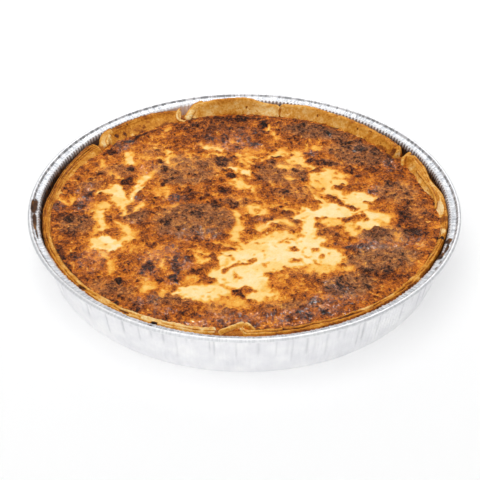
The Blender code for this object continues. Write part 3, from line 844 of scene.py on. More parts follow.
filling = {
    "level": 27.6,
    "tilt": 1.2,  # higher at the front, lower at the back
    "highest": 30.3,
    "edgeRound": 12.0,
    "intoCrust": 0.9,  # the edge goes this far into the pastry, so that no gap shows
    "bottom": 6.4,
    "cells": 300,  # along each side of the grid
    "sideShare": 0.985,  # of the top's reach, where the hidden side bends in
    "sideRise": 12.0,  # of that bend over the bottom
    "bottomShare": 0.85,
    "baseToast": 0.585,
    "ragged": 1.5,  # how far the patches' outlines wander (mm)
    "border": 1.9,  # half width of the orange round each cream patch
    "borderToast": 0.38,
    "skinSoft": 3.0,  # how softly the wet and the dull places end
}
mounds = (  # swollen places: x, y, spread, rise (mm)
    (-34, -20, 16, 1.5), (78, -52, 16, 1.1), (-88, 30, 13, 0.9), (44, 84, 16, 1.2), (-20, 84, 13, 1),
    (-66, -66, 13, 1), (40, -92, 12, 1.1), (96, 14, 12, 1),
)

# The browning is painted in this order. Spots: x, y, half width, half depth (mm), turn (degrees), toast.
# Streaks: from x, y to x, y, half width (mm), toast. Toast runs from 0, cream, to 1, burnt black.
broadSpots = (
    (-18, 92, 24, 10, -5, 0.7), (45, 88, 20, 10, -15, 0.75), (78, 62, 20, 16, -35, 0.7),
    (97, 37, 13, 12, 0, 0.7), (72, 28, 9, 9, 0, 0.46), (94, 10, 14, 13, 0, 0.54),
    (98, -25, 11, 17, 0, 0.74), (78, -60, 24, 15, 20, 0.62), (62, -80, 18, 8, 25, 0.64),
    (22, -82, 13, 14, 0, 0.4), (39, -86, 8, 6, 0, 0.58), (-57, -62, 18, 18, 0, 0.49),
    (-90, -60, 12, 22, 25, 0.56), (-100, -20, 11, 16, 0, 0.66), (-95, 45, 14, 18, 0, 0.5),
    (-74, 52, 15, 13, 0, 0.45), (-66, 36, 5, 22, 4, 0.43), (-38, 38, 20, 19, 0, 0.57),
    (-60, 78, 22, 10, -25, 0.5), (22, 30, 18, 20, 0, 0.6), (50, -28, 12, 14, 0, 0.5),
    (28, -28, 9, 9, 0, 0.48), (7, -34, 10, 5, 0, 0.44), (-72, -84, 14, 6, -30, 0.66),
    (-40, -94, 12, 6, -10, 0.64), (24, -103, 22, 6, 0, 0.74), (36, 10, 8, 7, 0, 0.52),
    (0, 80, 16, 10, 0, 0.58), (-10, -103, 30, 6, 0, 0.54), (-30, -18, 25, 20, -10, 0.62),
    (8, 60, 15, 5, 0, 0.36), (34, 53, 9, 11, -20, 0.3), (98, -58, 7, 13, -15, 0.46),
    (-50, 14, 9, 8, 0, 0.42), (4, -3, 10, 10, 0, 0.42), (104, 24, 5, 20, -8, 0.5),
    (-5, 103, 18, 4, 0, 0.86), (-24, 75, 16, 7, 0, 0.74), (-98, -2, 8, 10, 0, 0.62),
    (-78, 66, 12, 4, 40, 0.66), (-14, 26, 8, 6, 0, 0.44), (76, -71, 10, 7, 20, 0.82),
    (23, -3, 8, 6, 0, 0.4), (-61, -44, 9, 6, 0, 0.3), (2, 18, 6, 8, 0, 0.34), (-35, 48, 10, 8, 0, 0.46),
    (-20, 18, 9, 7, 0, 0.48), (-2, 68, 10, 7, 0, 0.62), (-48, -79, 9, 6, 0, 0.54),
    (-20, 69, 14, 5, 0, 0.62), (-68, 48, 7, 8, 0, 0.5), (-56, -74, 9, 5, 0, 0.56),
)
creamStreaks = (
    (-29, 70, -25, 65, 0.8, 0.2), (-25, 65, -14, 64, 1.2, 0.08), (-16, 69, -18, 64, 0.8, 0.2),
    (-24, 57, -18, 57.5, 1.6, 0.14), (-16, 57, -11, 58.5, 1, 0.3), (-38, 56, -31.5, 58.3, 0.7, 0.3),
    (-49.7, 60, -49, 47, 1.4, 0.1), (-48, 57, -46, 54, 1.3, 0.22), (-58, 66, -57, 65, 1.4, 0.26),
    (-52.5, 68, -52, 66.5, 0.8, 0.2), (-55, 53, -52, 51, 0.9, 0.2), (-75, 58, -73.5, 46, 2.6, 0.08),
    (-80, 50, -78, 46, 1.3, 0.3), (-93, 49, -89, 42.5, 1.3, 0.2), (-65, 57, -62.5, 45, 1.3, 0.34),
    (-58, 36, -62.5, 28, 1.8, 0.16), (-62.5, 29, -66, 18, 2.6, 0.06), (-66, 18, -70, 3, 2.2, 0.06),
    (-68, 32, -64, 27, 1.5, 0.26), (-80, 18, -75, 2, 4.2, 0.04), (-91, 11.5, -81, 14, 1.3, 0.1),
    (-85, 32, -79, 27, 1.2, 0.22), (-85, 6, -76, 3, 3.2, 0.12), (-74, 0, -72.5, -10, 1.8, 0.1),
    (-62, -1, -67, -7, 1.3, 0.12), (-56, -5, -41, -2.6, 1, 0.34), (-49, 17, -47.5, 8, 1.8, 0.22),
    (-56, 17, -54, 14, 1.6, 0.28), (-49, 42.5, -41, 46.5, 0.9, 0.28), (-8, 41, 3, 35, 2.9, 0.05),
    (-19.5, 41, -17, 36, 1.3, 0.24), (-4.5, 56.5, 5, 48, 1.3, 0.14), (-2, 49, 1.5, 43, 1.2, 0.18),
    (-6, 27, 5, 16, 1.8, 0.1), (-9, 23, -2, 17.5, 1.5, 0.14), (-2, 22, 6, 15, 2, 0.12),
    (-18.5, 8, -16, 6.5, 1.6, 0.26), (-3, 3, 2, 6.5, 0.8, 0.26), (-115, 4, -108, -1.5, 1.4, 0.16),
    (-105.5, 5, -104.5, 0, 1, 0.2), (-7, -5, -3, -14, 1.5, 0.12), (-3, -12, -3.5, -26, 1.7, 0.14),
    (-3.5, -26, -6, -37, 2.4, 0.12), (-92, -2, -90, -8, 3, 0.32), (-86.5, -2, -88, -12, 2.2, 0.14),
    (-86, -11, -83, -27, 2.3, 0.08), (-88, -27, -86, -40, 1.4, 0.24), (-75.5, -20.5, -68, -27, 1.7, 0.12),
    (-68, -27, -66.5, -36, 2.2, 0.12), (-66.5, -36, -74, -40, 2.2, 0.12), (-88, -38, -80, -44, 3, 0.1),
    (-80, -51, -75, -60, 1.5, 0.22), (-75.5, -60, -74, -70, 1.6, 0.2),
    (-66.5, -46.5, -59, -45, 0.9, 0.26), (-64, -34, -62, -42, 1, 0.3), (-17, -40.5, -10, -43, 0.9, 0.18),
    (-32, -48, -20, -50, 1, 0.16), (-28, -53, -22, -58, 1.5, 0.14), (-47, -57, -46, -62, 1.1, 0.16),
    (-54, -78, -50, -79, 1.4, 0.26), (-44.5, -84, -43.5, -88, 1, 0.2), (16, 93.5, 18, 87, 1.5, 0.12),
    (18, 87, 22.5, 78, 0.9, 0.22), (1, 54, 12, 51.5, 1.4, 0.14), (12, 51.5, 24, 54.5, 1.9, 0.1),
    (1, 61, 9, 60, 2.2, 0.3), (2, 58, 1, 54, 1.8, 0.26), (22, 60, 27, 66, 1.6, 0.22),
    (20, 57, 26, 60, 2, 0.14), (41, 68, 41, 64, 0.7, 0.2), (25, 76, 26, 74, 1, 0.34),
    (24, 41.5, 28, 41, 2.2, 0.14), (27, 29.5, 30, 29, 1.6, 0.16), (40, 44, 45, 40, 1.6, 0.14),
    (14, 24, 19, 20, 0.9, 0.34), (20, -18, 8, -27, 1.9, 0.12), (23, -18, 27, -22, 2.2, 0.12),
    (20, -1, 31, -9, 1.2, 0.2), (38.5, -16, 38.5, -38, 2.6, 0.05), (62, -22, 63, -31, 2.4, 0.12),
    (82, -20, 86, -26, 1.8, 0.22), (-62, 72, -58, 70, 0.8, 0.3), (-56, 88, -50, 92, 1.2, 0.26),
    (-58, 81, -54, 82, 0.9, 0.3), (-8, 73, -5, 70, 1.2, 0.26), (88, -33, 88.5, -38, 1.4, 0.34),
    (30, 20, 33, 12, 1, 0.32), (39, 20, 45, 8, 1.2, 0.2), (45, 6, 50, -1, 1.6, 0.12),
)
creamSpots = (
    (-80, -41, 10, 7.5, -25, 0), (18, -36, 14, 4.5, 15, 0.1), (48, 64, 3.4, 2, 0, 0.2),
    (32, 52, 5, 7.5, 0, 0.16), (-74, 54, 3, 6, 0, 0.12), (-24, -87, 11, 5, 0, 0.04),
    (38, -26, 3.6, 11, 0, 0.05), (35.5, 54, 4.6, 7, 0, 0.12), (36, 47, 5, 2.6, -20, 0.12),
    (8.5, -7, 7, 5.6, 0, 0.12), (50, 31, 8, 7, 10, 0.1), (56, 22, 9.5, 8.5, 0, 0.12),
    (47, 24, 6, 7, 0, 0.14), (54, 12, 6.5, 6, 20, 0.1), (71, 7, 9, 6, 10, 0.06), (61, 2, 6, 8, 0, 0.06),
    (50, -8, 17, 8, 6, 0.02), (62, -6, 6, 6, 0, 0.06), (36, -12, 5, 3.5, 0, 0.06),
    (76, -13, 9.5, 4, -8, 0.05), (84, -16, 4, 5, 0, 0.1), (22, -47, 26, 8.5, 4, 0.03),
    (34, -42, 12, 7, 20, 0.03), (2, -52, 14, 7, 0, 0.06), (18, -57, 24, 7, 0, 0.03),
    (47, -54, 9, 8, 0, 0.05), (-3, -70, 15, 12, 0, 0.05), (4, -76, 9, 9, 0, 0.03),
    (12, -86, 2.6, 7, 5, 0.12), (-18, -84, 10, 4.6, 5, 0.06), (-31, -85, 7.5, 4.6, 12, 0.05),
    (-54, -83.5, 3.6, 2.4, 0, 0.14), (-7, -94, 8, 3.6, 0, 0.24), (-24, -57, 3, 3, 0, 0.14),
    (-13, -58, 3.6, 6, 0, 0.06), (57, -64, 3, 3, 0, 0.2), (4, -44, 10, 3.5, 0, 0.12),
    (8, -89, 8, 4.6, 0, 0.08), (73, -21, 8, 4.6, 0, 0.05), (73, -28, 5, 3, 0, 0.16),
    (43, -65, 7, 4.4, 0, 0.16), (-29, -74, 5, 3, 0, 0.26), (-84, -3, 4, 5, 0, 0.14),
    (69, -3, 6, 4, 0, 0.08), (17, -64, 9, 4, 0, 0.1), (58, 33, 5, 4, 0, 0.14), (51, -19, 8, 3.6, 0, 0.14),
)
darkSpots = (
    (-70, 81, 6, 1.8, 32, 0.88), (-79.5, 72.5, 2.4, 2.2, 0, 0.84), (-83, 67, 3, 2, 30, 0.86),
    (-60, 87, 4.6, 1.6, 22, 0.78), (-76, 78, 1.4, 1.2, 0, 0.92), (-63, 80, 1.4, 1.2, 0, 0.8),
    (-32, 79, 2.2, 2, 0, 0.82), (-20, 80, 2.6, 1.8, 0, 0.8), (-12, 75, 1.8, 2.6, 0, 0.86),
    (-3, 76, 1.6, 3, 0, 0.84), (-38, 86, 2.4, 2.4, 0, 0.78), (-8, 90, 2.6, 2, 0, 0.84),
    (-72.3, 8.5, 0.9, 6, 8, 0.36), (-70, 21, 1.8, 2.6, 0, 0.6), (-81, -30, 7.2, 3, 28, 0.58),
    (-86, 6.5, 4.4, 3.6, 0, 0.58), (31.8, 56.7, 2.2, 1.6, 0, 0.62), (8.3, -7.6, 2.2, 1.8, 0, 0.32),
    (61.5, -17.6, 3.6, 3, 0, 0.62), (70, -13.4, 2.2, 1.9, 0, 0.52), (61, 18, 4, 3.2, -10, 0.62),
    (46, 38, 2.2, 2, 0, 0.7), (44, -54, 1.6, 2.6, 0, 0.42), (29, -57.5, 2.8, 1.9, 0, 0.5),
    (28, -46.6, 2.8, 1.5, 0, 0.55), (40, -46.7, 2.8, 2, 0, 0.58), (23, -41.7, 2.6, 1, 0, 0.4),
    (4, -57.3, 3.4, 2.2, 0, 0.56), (-18, -55, 2.4, 4.8, 0, 0.7), (-19, -45, 4.2, 2.6, 0, 0.64),
    (-9, -46.6, 3.8, 2.2, 0, 0.6), (-11, -66.5, 1.7, 2.2, 0, 0.62), (-27.6, -67.5, 3, 2.8, 0, 0.76),
    (-21.5, -75, 3, 5.6, 30, 0.6), (-19.5, -62.5, 4.2, 2.6, 10, 0.62), (-5.5, -71.6, 1.1, 2.8, 0, 0.46),
    (14, -68, 1.6, 1.4, 0, 0.5), (42, -4, 3.6, 4, 0, 0.46), (17, 63, 4.6, 3.2, 0, 0.66),
    (-14, 48, 4.6, 6, 0, 0.84), (-8, 53, 2.4, 2.4, 0, 0.82), (-8.4, 31, 2.5, 2.6, 0, 0.94),
    (-21, 24, 3.6, 2, -10, 0.74), (-12.5, 13, 5.6, 2.8, -8, 0.84), (-75, 24, 3.6, 3, 0, 0.88),
    (-73, 38.5, 2.8, 4, 10, 0.84), (-86.5, 60.5, 4.6, 3, -10, 0.86), (-84, 68, 5, 5, 0, 0.76),
    (-95, 11, 3.2, 3.6, 0, 0.82), (-100, -2.5, 2.8, 4.2, 0, 0.86), (-112, -5, 3.6, 3.2, 0, 0.76),
    (-43, 5.5, 3.8, 4.2, 0, 0.78), (-33, 7.5, 3.6, 4, 0, 0.76), (-66, 5, 2.6, 3, 0, 0.72),
    (-51, 37, 2.2, 4.4, 0, 0.78), (-54, 48, 2, 2.6, 0, 0.8), (-28, 61.5, 2.6, 1.4, 20, 0.8),
    (0.5, 104, 1.8, 3.2, 0, 0.98), (13.2, 95, 2.2, 3.6, 0, 0.97), (57.5, 83, 1.7, 2.8, 0, 0.97),
    (64, 85, 3.4, 2.2, 0, 0.8), (14, 86, 4, 2.6, 0, 0.86), (76.5, 64, 5, 3.6, 40, 0.88),
    (85, 65, 3.4, 3.4, 0, 0.84), (94, 45, 3.2, 5.2, 10, 0.86), (7, 69, 2.4, 2.2, 0, 0.9),
    (43, 57, 3.4, 3.2, 0, 0.84), (42.5, 48.5, 3.2, 3, 0, 0.86), (49, 46.5, 4.2, 3, -10, 0.84),
    (57, 45.5, 4.2, 2.6, 0, 0.84), (12, 52.3, 2.4, 1.2, 0, 0.76), (21.5, 52.4, 2.2, 1.5, 0, 0.8),
    (33, 37.5, 2.4, 2.2, 0, 0.84), (38, 34.5, 2.6, 2.6, 0, 0.82), (38.5, 27, 2.6, 2.2, -20, 0.86),
    (25.5, 13, 2.6, 2.8, 0, 0.94), (10, 27.5, 2.6, 2.6, 0, 0.8), (67.5, 37, 3, 4.2, 0, 0.8),
    (71, 29, 1.6, 1.6, 0, 0.86), (91.5, 21, 3.4, 4.6, -15, 0.82), (79, 13, 2.6, 4, 0, 0.84),
    (-6, -2.5, 2.6, 3.8, 0, 0.82), (-18, -2, 3.6, 4, 0, 0.84), (-28, -13, 4.2, 2.6, 0, 0.84),
    (-47, -21, 4, 4.2, 0, 0.8), (-14, -35, 3.6, 4, 0, 0.76), (-65.5, -14, 4.6, 4.4, 0, 0.7),
    (-105, -16, 3.4, 4.8, 20, 0.9), (-97, -15, 3.4, 3.4, 0, 0.8), (26, -11, 3.8, 3, 0, 0.76),
    (14, -18.6, 3.8, 1.6, 50, 0.8), (4, -30, 4.4, 2.2, -15, 0.74), (101, 8, 1, 3.2, 30, 0.88),
    (78, -31, 8, 5.4, 0, 0.74), (96, -15, 4, 5, 0, 0.86), (99, -30, 4, 4, 0, 0.84),
    (51, -82, 1.8, 2, 0, 0.95), (47, -84, 4.4, 3.6, 0, 0.78), (40, -103.5, 2, 1.6, 0, 0.95),
    (112, -38, 2.2, 2.6, 0, 0.97), (-54, -63, 4.2, 4.2, 0, 0.88), (-39, -62, 2.2, 9, 0, 0.8),
    (-39, -74, 2.8, 3.6, 0, 0.92), (-69, -77.5, 2.8, 2.4, 0, 0.86), (-54, -42.5, 3.6, 2.6, 0, 0.84),
    (-47, -77, 3, 3, 0, 0.78), (-97, -53, 3, 3.2, 0, 0.8), (-4, -88, 5, 1.4, -40, 0.92),
    (4, -114, 3.4, 2, 0, 0.84), (2, -84, 3.6, 2.6, 0, 0.52), (62, -45, 5, 3, 0, 0.82),
    (70, -46, 5, 2.6, 0, 0.78),
)
# The streaks from (-71, 79), (65, 77) and (-108, -43) are painted shade: under a ledge of skin, in a
# crease, and along the foot of the crust.
darkStreaks = (
    (-17, 105, 9, 103, 1.3, 0.9), (-71, 79, -75.5, 73.5, 1.5, 0.88), (-39, 28, -46, 27, 1.2, 0.82),
    (-46, 27, -51, 21, 1.6, 0.84), (51.5, 8.5, 66, -5.5, 1.6, 0.7), (65, 77, 66, 67, 1.1, 0.9),
    (-9, -64, 3.5, -60, 1, 0.55), (-108, -43, -94, -74, 0.9, 0.86), (12, -91, 13, -95, 1, 0.4),
    (91, -24, 99, -12, 1.4, 0.86), (82, 3, 93, 9, 1, 0.84), (-70, -58, -64, -52, 1, 0.6),
    (20, -3, 26, -2, 1, 0.7),
)
glossSpots = (  # wet, oily places: x, y, half width, half depth, turn, gloss
    (-53, -94, 6.5, 4.5, 15, 1), (-44, -103, 5.5, 3.5, -10, 1), (-23, -111, 8, 3, 0, 1),
    (8, -108, 26, 4.5, 0, 1), (30, -105, 22, 5, 8, 1), (-14, -108, 10, 4, 0, 1), (76, -44, 17, 5, 0, 1),
    (-30, -33, 14, 5, 0, 0.6), (50, -82, 5, 5, 0, 0.8), (-50, -56, 9, 7, 0, 0.7), (-80, 70, 6, 8, -30, 1),
    (42, -97, 10, 8, 30, 0.9), (70, -44, 9, 4, 0, 1), (88, -44, 5, 4, 0, 0.9), (100, -36, 6, 4, 0, 0.9),
    (-62, 40, 6, 8, 0, 0.6), (-84, -52, 8, 8, 0, 0.8), (-36, -60, 7, 5, 0, 0.8), (-66, -20, 5, 3, 0, 0.6),
    (-2, 84, 12, 8, 0, 0.4), (96, -42, 8, 4, 0, 0.7), (-42, -47, 6, 5, 0, 0.7),
    (-19, -32, 5, 2.5, 0, 0.8), (-34, -38, 3, 2, 0, 0.8), (-80, 67, 5, 7, 0, 1), (76, 64, 5, 5, 0, 0.9),
    (57, 83, 3, 4, 0, 1), (8, 67, 4, 5, 0, 1), (-98, 4, 5, 14, 0, 0.9), (-112, -5, 4, 4, 0, 0.9),
    (-43, 5, 5, 5, 0, 0.8), (-66, 5, 4, 4, 0, 0.9), (43, 57, 4, 4, 0, 0.8), (94, 44, 4, 6, 0, 0.8),
    (80, 12, 4, 6, 0, 0.9), (14, -20, 4, 3, 0, 0.8), (-54, -68, 6, 8, 0, 0.6), (-39, -74, 4, 5, 0, 0.8),
    (-10, 70, 18, 8, 0, 0.7), (54, -90, 10, 8, 0, 0.6), (-88, -58, 9, 12, 20, 0.5),
)
ashSpots = (  # dull grey-brown skin: x, y, half width, half depth, turn, share
    (-30, -18, 24, 18, 0, 0.85), (-38, 38, 20, 18, 0, 0.85), (24, 34, 16, 14, 0, 0.7),
    (50, 85, 24, 11, -18, 0.85), (82, -33, 16, 9, 0, 1), (78, -57, 20, 12, 12, 1),
    (58, -79, 16, 10, 20, 1), (-66, -13, 8, 8, 0, 0.8), (24, -97, 16, 3.5, 0, 0.8),
    (104, -8, 7, 14, 0, 0.5), (-72, -84, 14, 6, -25, 0.7), (-40, -92, 12, 5, 0, 0.7),
    (-100, -22, 10, 10, 0, 0.8), (-20, 94, 18, 7, 0, 0.2), (56, 46, 8, 4, 0, 0.6),
    (-16, 46, 9, 10, 0, 0.6), (30, 12, 12, 8, 0, 0.5), (-82, 36, 12, 8, 0, 0.6),
    (74, 58, 20, 15, -25, 0.8), (-60, 60, 7, 7, 0, 0.5), (94, 12, 13, 12, 0, 0.8), (-6, 0, 8, 6, 0, 0.5),
    (-96, 20, 8, 8, 0, 0.5), (26, -20, 7, 7, 0, 0.4), (-14, -100, 8, 5, -40, 0.6),
    (32, -70, 8, 4, 0, 0.4), (46, -30, 8, 8, 0, 0.3),
)


def spotDistance(x, y, spot):
    # Distance outside a turned ellipse in mm, below 0 inside: (the scaled distance - 1) times its
    # smaller half width.
    middleX, middleY, halfX, halfY, turn, _ = spot
    cos, sin = math.cos(math.radians(turn)), math.sin(math.radians(turn))
    farX, farY = x - middleX, y - middleY
    along, across = farX * cos + farY * sin, farY * cos - farX * sin
    return (np.hypot(along / halfX, across / halfY) - 1) * min(halfX, halfY)


def streakDistance(x, y, streak):
    # Distance outside a straight streak: the distance to the line between its ends, less its half width.
    startX, startY, endX, endY, halfWidth, _ = streak
    alongX, alongY = endX - startX, endY - startY
    share = np.clip(((x - startX) * alongX + (y - startY) * alongY) / (alongX ** 2 + alongY ** 2), 0, 1)
    return np.hypot(x - startX - share * alongX, y - startY - share * alongY) - halfWidth


def raggedSpot(x, y, spot, ragged):
    # Distance outside a spot with a ragged outline, less so on a small one, and its smaller half width.
    reach = min(spot[2:4])
    return spotDistance(x, y, spot) + ragged * min(1, reach / 3.5), reach


def raggedStreak(x, y, streak, ragged):
    # The same for a streak and its half width.
    return streakDistance(x, y, streak) + ragged * min(1, streak[4] / 3), streak[4]


def within(distance, soft):
    # 1 inside an outline, 0 outside, eased over this distance to either side of it.
    return smooth(0.5 - distance / (2 * soft))


def domesAt(x, y):
    # Baked bubbles of two sizes, 0 to about 1.
    return 0.6 * blisters(x, y, 7.5, 0.55, 3) + 0.4 * blisters(x + 2, y, 3.6, 0.6, 4)


def laid(toast, value, share):
    # The browning with a share of a new value laid over it.
    return toast + (value - toast) * share


def paintToast(x, y):
    # Browning at each place: a rippled brown ground with each spot and streak laid over the last. The
    # cream ones lay an orange border round themselves first. Brown skin is mottled in three sizes, and
    # cream is flecked.
    toast = filling["baseToast"] + ripples(x, y, 0, (0.12, 17, 20), (0.06, 8.5, 23), (0.03, 4.25, 26))
    warpX = x + ripples(x, y, 0, (1.8, 8, 21), (1.2, 3, 22))
    warpY = y + ripples(x, y, 0, (1.8, 8, 23), (1.2, 3, 24))
    ragged = filling["ragged"] * ripples(x, y, 0, (1, 5.5, 25), (0.8, 2.4, 26))
    for spot in broadSpots:
        distance = spotDistance(warpX, warpY, spot) + 2 * ragged
        toast = laid(toast, spot[5], 0.85 * within(distance, 6))
    creams = []
    for spot in creamSpots:
        distance, reach = raggedSpot(warpX, warpY, spot, 1.3 * ragged)
        creams.append((distance, min(1.4, 0.6 * reach), spot[5]))
    for streak in creamStreaks:
        distance, reach = raggedStreak(warpX, warpY, streak, 1.1 * ragged)
        creams.append((distance, min(1.5, 0.7 * reach + 0.3), streak[5]))
    for distance, soft, _ in creams:
        border = filling["border"] * min(1, 0.5 + 0.35 * soft)
        near = within(distance - border, border + 0.6) * 0.8
        toast = laid(toast, np.minimum(toast, filling["borderToast"]), near)
    for distance, soft, value in creams:
        toast = laid(toast, value, within(distance, soft))
    skin = smooth((toast - 0.2) / 0.25)
    mottle = ripples(x, y, 0, (0.13, 9, 27), (0.10, 3.8, 28), (0.08, 1.9, 29))
    toast = toast + mottle * (0.2 + 0.8 * skin) + 0.24 * (domesAt(x, y) - 0.30) * skin
    toast = toast + 0.26 * smooth((ripple(x, y, 0, 3.6, 30) - 0.36) / 0.4) * (1 - skin)
    for spot in darkSpots:
        distance, reach = raggedSpot(warpX, warpY, spot, 0.8 * ragged)
        toast = laid(toast, spot[5] + 0.5 * mottle, within(distance, min(1.1, 0.6 * reach)))
    for streak in darkStreaks:
        distance, reach = raggedStreak(warpX, warpY, streak, 0.6 * ragged)
        toast = laid(toast, streak[5], within(distance, min(1.2, 0.8 * reach + 0.3)))
    return toast


def paintShare(x, y, spots):
    # The strongest share that a table of spots gives to each place, with ragged outlines.
    share = np.zeros(x.shape)
    ragged = ripples(x, y, 0, (2.8, 6, 31), (1.8, 2.6, 32))
    for spot in spots:
        distance, reach = raggedSpot(x, y, spot, ragged)
        share = np.maximum(share, spot[5] * within(distance, min(filling["skinSoft"], 0.7 * reach)))
    return share


def fillingHeight(x, y, toast, gloss):
    # Mounds, bumps and bubbles on a slightly tilted disc, eased down to the crust as the sine of the
    # room that is left. Browned skin stands a little above the cream.
    degrees = np.degrees(np.arctan2(y, x))
    face = crustInnerFace(degrees)
    room = face - np.hypot(x, y)
    share = np.sin(np.clip(room / filling["edgeRound"], 0, 1) * math.pi / 2)
    level = filling["level"] - filling["tilt"] * y / face
    for moundX, moundY, spread, rise in mounds:
        level = level + rise * bell(np.hypot(x - moundX, y - moundY), spread)
    level = level + ripples(x, y, 0, (0.75, 19, 40), (0.6, 8, 41))
    edge = between(fillingEdge, degrees, 1)
    height = edge + (level - edge) * share
    skin = smooth((toast - 0.25) / 0.4)
    rough = 0.35 + 0.65 * skin
    crinkle = ripples(x, y, 0, (0.30, 3.4, 42), (0.26, 1.8, 43))
    height = height + 0.35 * skin + (1.5 * domesAt(x, y) * np.clip(room / 4, 0, 1) + crinkle) * rough
    height = height + 0.26 * gloss * ripple(x, y, 0, 1.9, 44)
    return np.minimum(height, filling["highest"])


def makeFilling(finish):
    # A square grid mapped onto the disc, x = u sqrt(1 - v^2 / 2) and y = v sqrt(1 - u^2 / 2), scaled to
    # the crust's inner face, and closed by a side and a floor below the last ring of points.
    count = filling["cells"] + 1
    u, v = np.meshgrid(np.linspace(-1, 1, count), np.linspace(-1, 1, count), indexing="ij")
    discX, discY = u * np.sqrt(1 - v ** 2 / 2), v * np.sqrt(1 - u ** 2 / 2)
    reach = crustInnerFace(np.degrees(np.arctan2(discY, discX))) + filling["intoCrust"]
    x, y = discX * reach, discY * reach
    toast = paintToast(x, y)
    gloss = paintShare(x, y, glossSpots)
    ash = paintShare(x, y, ashSpots)
    height = fillingHeight(x, y, toast, gloss)
    index = np.arange(count * count).reshape(count, count)
    rim = np.concatenate([index[:-1, 0], index[-1, :-1], index[:0:-1, -1], index[0, :0:-1]])
    top = np.stack([x, y, height], -1).reshape(-1, 3)
    sideShare, bottomShare = filling["sideShare"], filling["bottomShare"]
    side = top[rim] * (sideShare, sideShare, 0) + (0, 0, filling["bottom"] + filling["sideRise"])
    floor = top[rim] * (bottomShare, bottomShare, 0) + (0, 0, filling["bottom"])
    below = len(top) + np.arange(len(rim))
    wall = np.stack([rim, below, below + len(rim)])
    across = np.roll(wall, -1, 1)
    walls = [np.stack([wall[n], across[n], across[n + 1], wall[n + 1]], -1) for n in (0, 1)]
    points = np.concatenate([top, side, floor, [(0, 0, filling["bottom"])]])
    faceSets = [gridFaces(count, count), walls[0][:, ::-1], walls[1][:, ::-1],
                fanFaces(wall[2], len(points) - 1)[:, ::-1]]
    hidden = np.ones(2 * len(rim) + 1)
    values = {key: np.concatenate([field.ravel(), value * hidden])
              for key, field, value in (("toast", toast, 0.5), ("gloss", gloss, 0), ("ash", ash, 0))}
    return makePiece("fillingTop", points * mm, faceSets, finish, values)


def fillingFinish():
    baked = Finish("brownedFilling")
    toast, gloss, ash = baked.field("toast"), baked.field("gloss"), baked.field("ash")
    brown = baked.stretchTo(toast, 0.15, 0.50, 0.10, 1.0)
    wrinkles = baked.noise(0.0034, 4, 0.62, swirl=1.6)
    grain = baked.cloud(-0.5, 0.5, 0.0019, 3, 0.6, swirl=1.2)
    change = baked.addTo(baked.times(grain, 0.50), baked.stretchTo(wrinkles, 0.3, 0.7, -0.5, 0.5), 0.28)
    level = baked.addTo(toast, change, brown)
    fleck = baked.stretchTo(baked.noise(0.0017, 2, 0.5), 0.60, 0.72)
    level = baked.addTo(level, baked.times(fleck, brown), 0.30)
    ember = baked.stretchTo(baked.noise(0.0023, 3, 0.55), 0.40, 0.28)
    level = baked.addTo(level, baked.times(ember, brown), -0.28)
    colour = baked.ramp(level, ((0.0, "FFE8B2"), (0.08, "FFD988"), (0.18, "FDC052"), (0.30, "F49B2E"),
                                (0.40, "E28328"), (0.50, "CC6C20"), (0.60, "AD5A1D"), (0.70, "8E471A"),
                                (0.80, "622E15"), (0.90, "3A1C10"), (1.0, "1E100A")))
    skin = baked.ramp(level, ((0.3, "E0A264"), (0.45, "C68A52"), (0.6, "AA7046"), (0.75, "875636"),
                              (0.88, "573624"), (1.0, "2C1C12")))
    flaky = baked.stretchTo(baked.noise(0.0040, 4, 0.65), 0.36, 0.56, 0.35, 0.9)
    dull = baked.times(ash, baked.stretchTo(level, 0.22, 0.42))
    baked.put("Base Color", baked.mix(baked.times(dull, flaky), colour, skin))
    baked.put("Roughness", baked.cloud(0.44, 0.66, 0.0035))
    baked.put("Specular IOR Level", 0.14)
    wet = baked.stretchTo(baked.noise(0.0026, 2, swirl=0.8), 0.40, 0.50)
    clean = baked.stretchTo(toast, 0.70, 0.88, 0.9, 0.35)
    baked.put("Coat Weight", baked.times(gloss, baked.times(wet, clean)))
    baked.put("Coat Roughness", 0.08)
    fine = baked.bump(baked.noise(0.0009, 3, 0.6), 0.00040, 0.9)
    depth = baked.stretchTo(toast, 0.1, 0.5, 0.0005, 0.0018)
    baked.put("Normal", baked.bump(wrinkles, depth, 1.0, fine))
    baked.put("Coat Normal", baked.bump(baked.noise(0.0020, 2, 0.5), 0.00055, 1.0))
    return baked.material


fillingTop = makeFilling(fillingFinish())
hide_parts("filling")


# Floor, light and camera

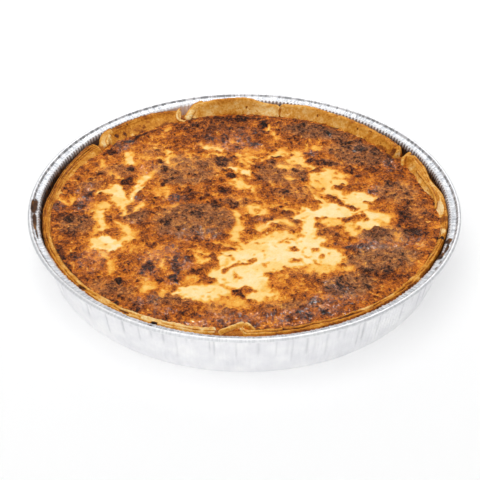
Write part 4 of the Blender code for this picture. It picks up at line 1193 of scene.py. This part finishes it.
studio = {
    "floor": 6.0,
    "floorGap": 0.0002,
    "floorColour": "FBFBFB",
    "worldColour": "FFFFFF",
    "worldStrength": 0.50,
    "topLight": (-0.20, -0.25, 1.3, 1.0, 4.6),  # x, y, z, size (m), power (W)
    "glintLight": (0.1, 0.7, 1.0, 0.20, 4.4),
    "backLight": (0.1, 1.7, 1.2, 1.7, 4.0),
    "frontLight": (-0.3, -1.7, 0.6, 2.0, 9.1),
    "cameraDistance": 0.65,
    "cameraTilt": 36.7,
    "cameraX": -0.0026,
    "sensor": 36.0,
    "focalShare": 1038 / 480,  # of the picture's width
}


def makeFloor():
    half = studio["floor"] / 2
    mesh = bpy.data.meshes.new("paleFloor")
    corners = [(-half, -half, 0), (half, -half, 0), (half, half, 0), (-half, half, 0)]
    mesh.from_pydata(corners, [], [(0, 1, 2, 3)])
    plain = Finish("palePaper")
    plain.put("Base Color", fromHex(studio["floorColour"]))
    plain.put("Roughness", 0.9)
    mesh.materials.append(plain.material)
    floor = intoScene("paleFloor", mesh)
    floor.location.z = -studio["floorGap"]


def makeLight(name, place):
    x, y, z, size, power = place
    lamp = bpy.data.lights.new(name, "AREA")
    lamp.size = size
    lamp.energy = power
    light = intoScene(name, lamp)
    light.location = (x, y, z)
    light.rotation_euler = (0, math.atan2(math.hypot(x, y), z), math.atan2(y, x))  # towards the origin
    return lamp


def makeCamera():
    tilt = math.radians(studio["cameraTilt"])
    lens = bpy.data.cameras.new("photoView")
    lens.sensor_width = studio["sensor"]
    lens.lens = studio["focalShare"] * studio["sensor"]
    camera = intoScene("photoView", lens)
    away = studio["cameraDistance"]
    camera.location = (studio["cameraX"], -away * math.cos(tilt), away * math.sin(tilt))
    camera.rotation_euler = (math.pi / 2 - tilt, 0, 0)
    bpy.context.scene.camera = camera


makeFloor()
makeLight("topLight", studio["topLight"])
makeLight("glintLight", studio["glintLight"]).use_shadow = False
makeLight("backLight", studio["backLight"])
makeLight("frontLight", studio["frontLight"])
makeCamera()
world = bpy.data.worlds.new("softStudio")
bpy.context.scene.world = world
world.use_nodes = True
sky = world.node_tree.nodes["Background"]
sky.inputs["Color"].default_value = fromHex(studio["worldColour"])
sky.inputs["Strength"].default_value = studio["worldStrength"]
bpy.context.scene.view_settings.view_transform = "Standard"
print("stage set")
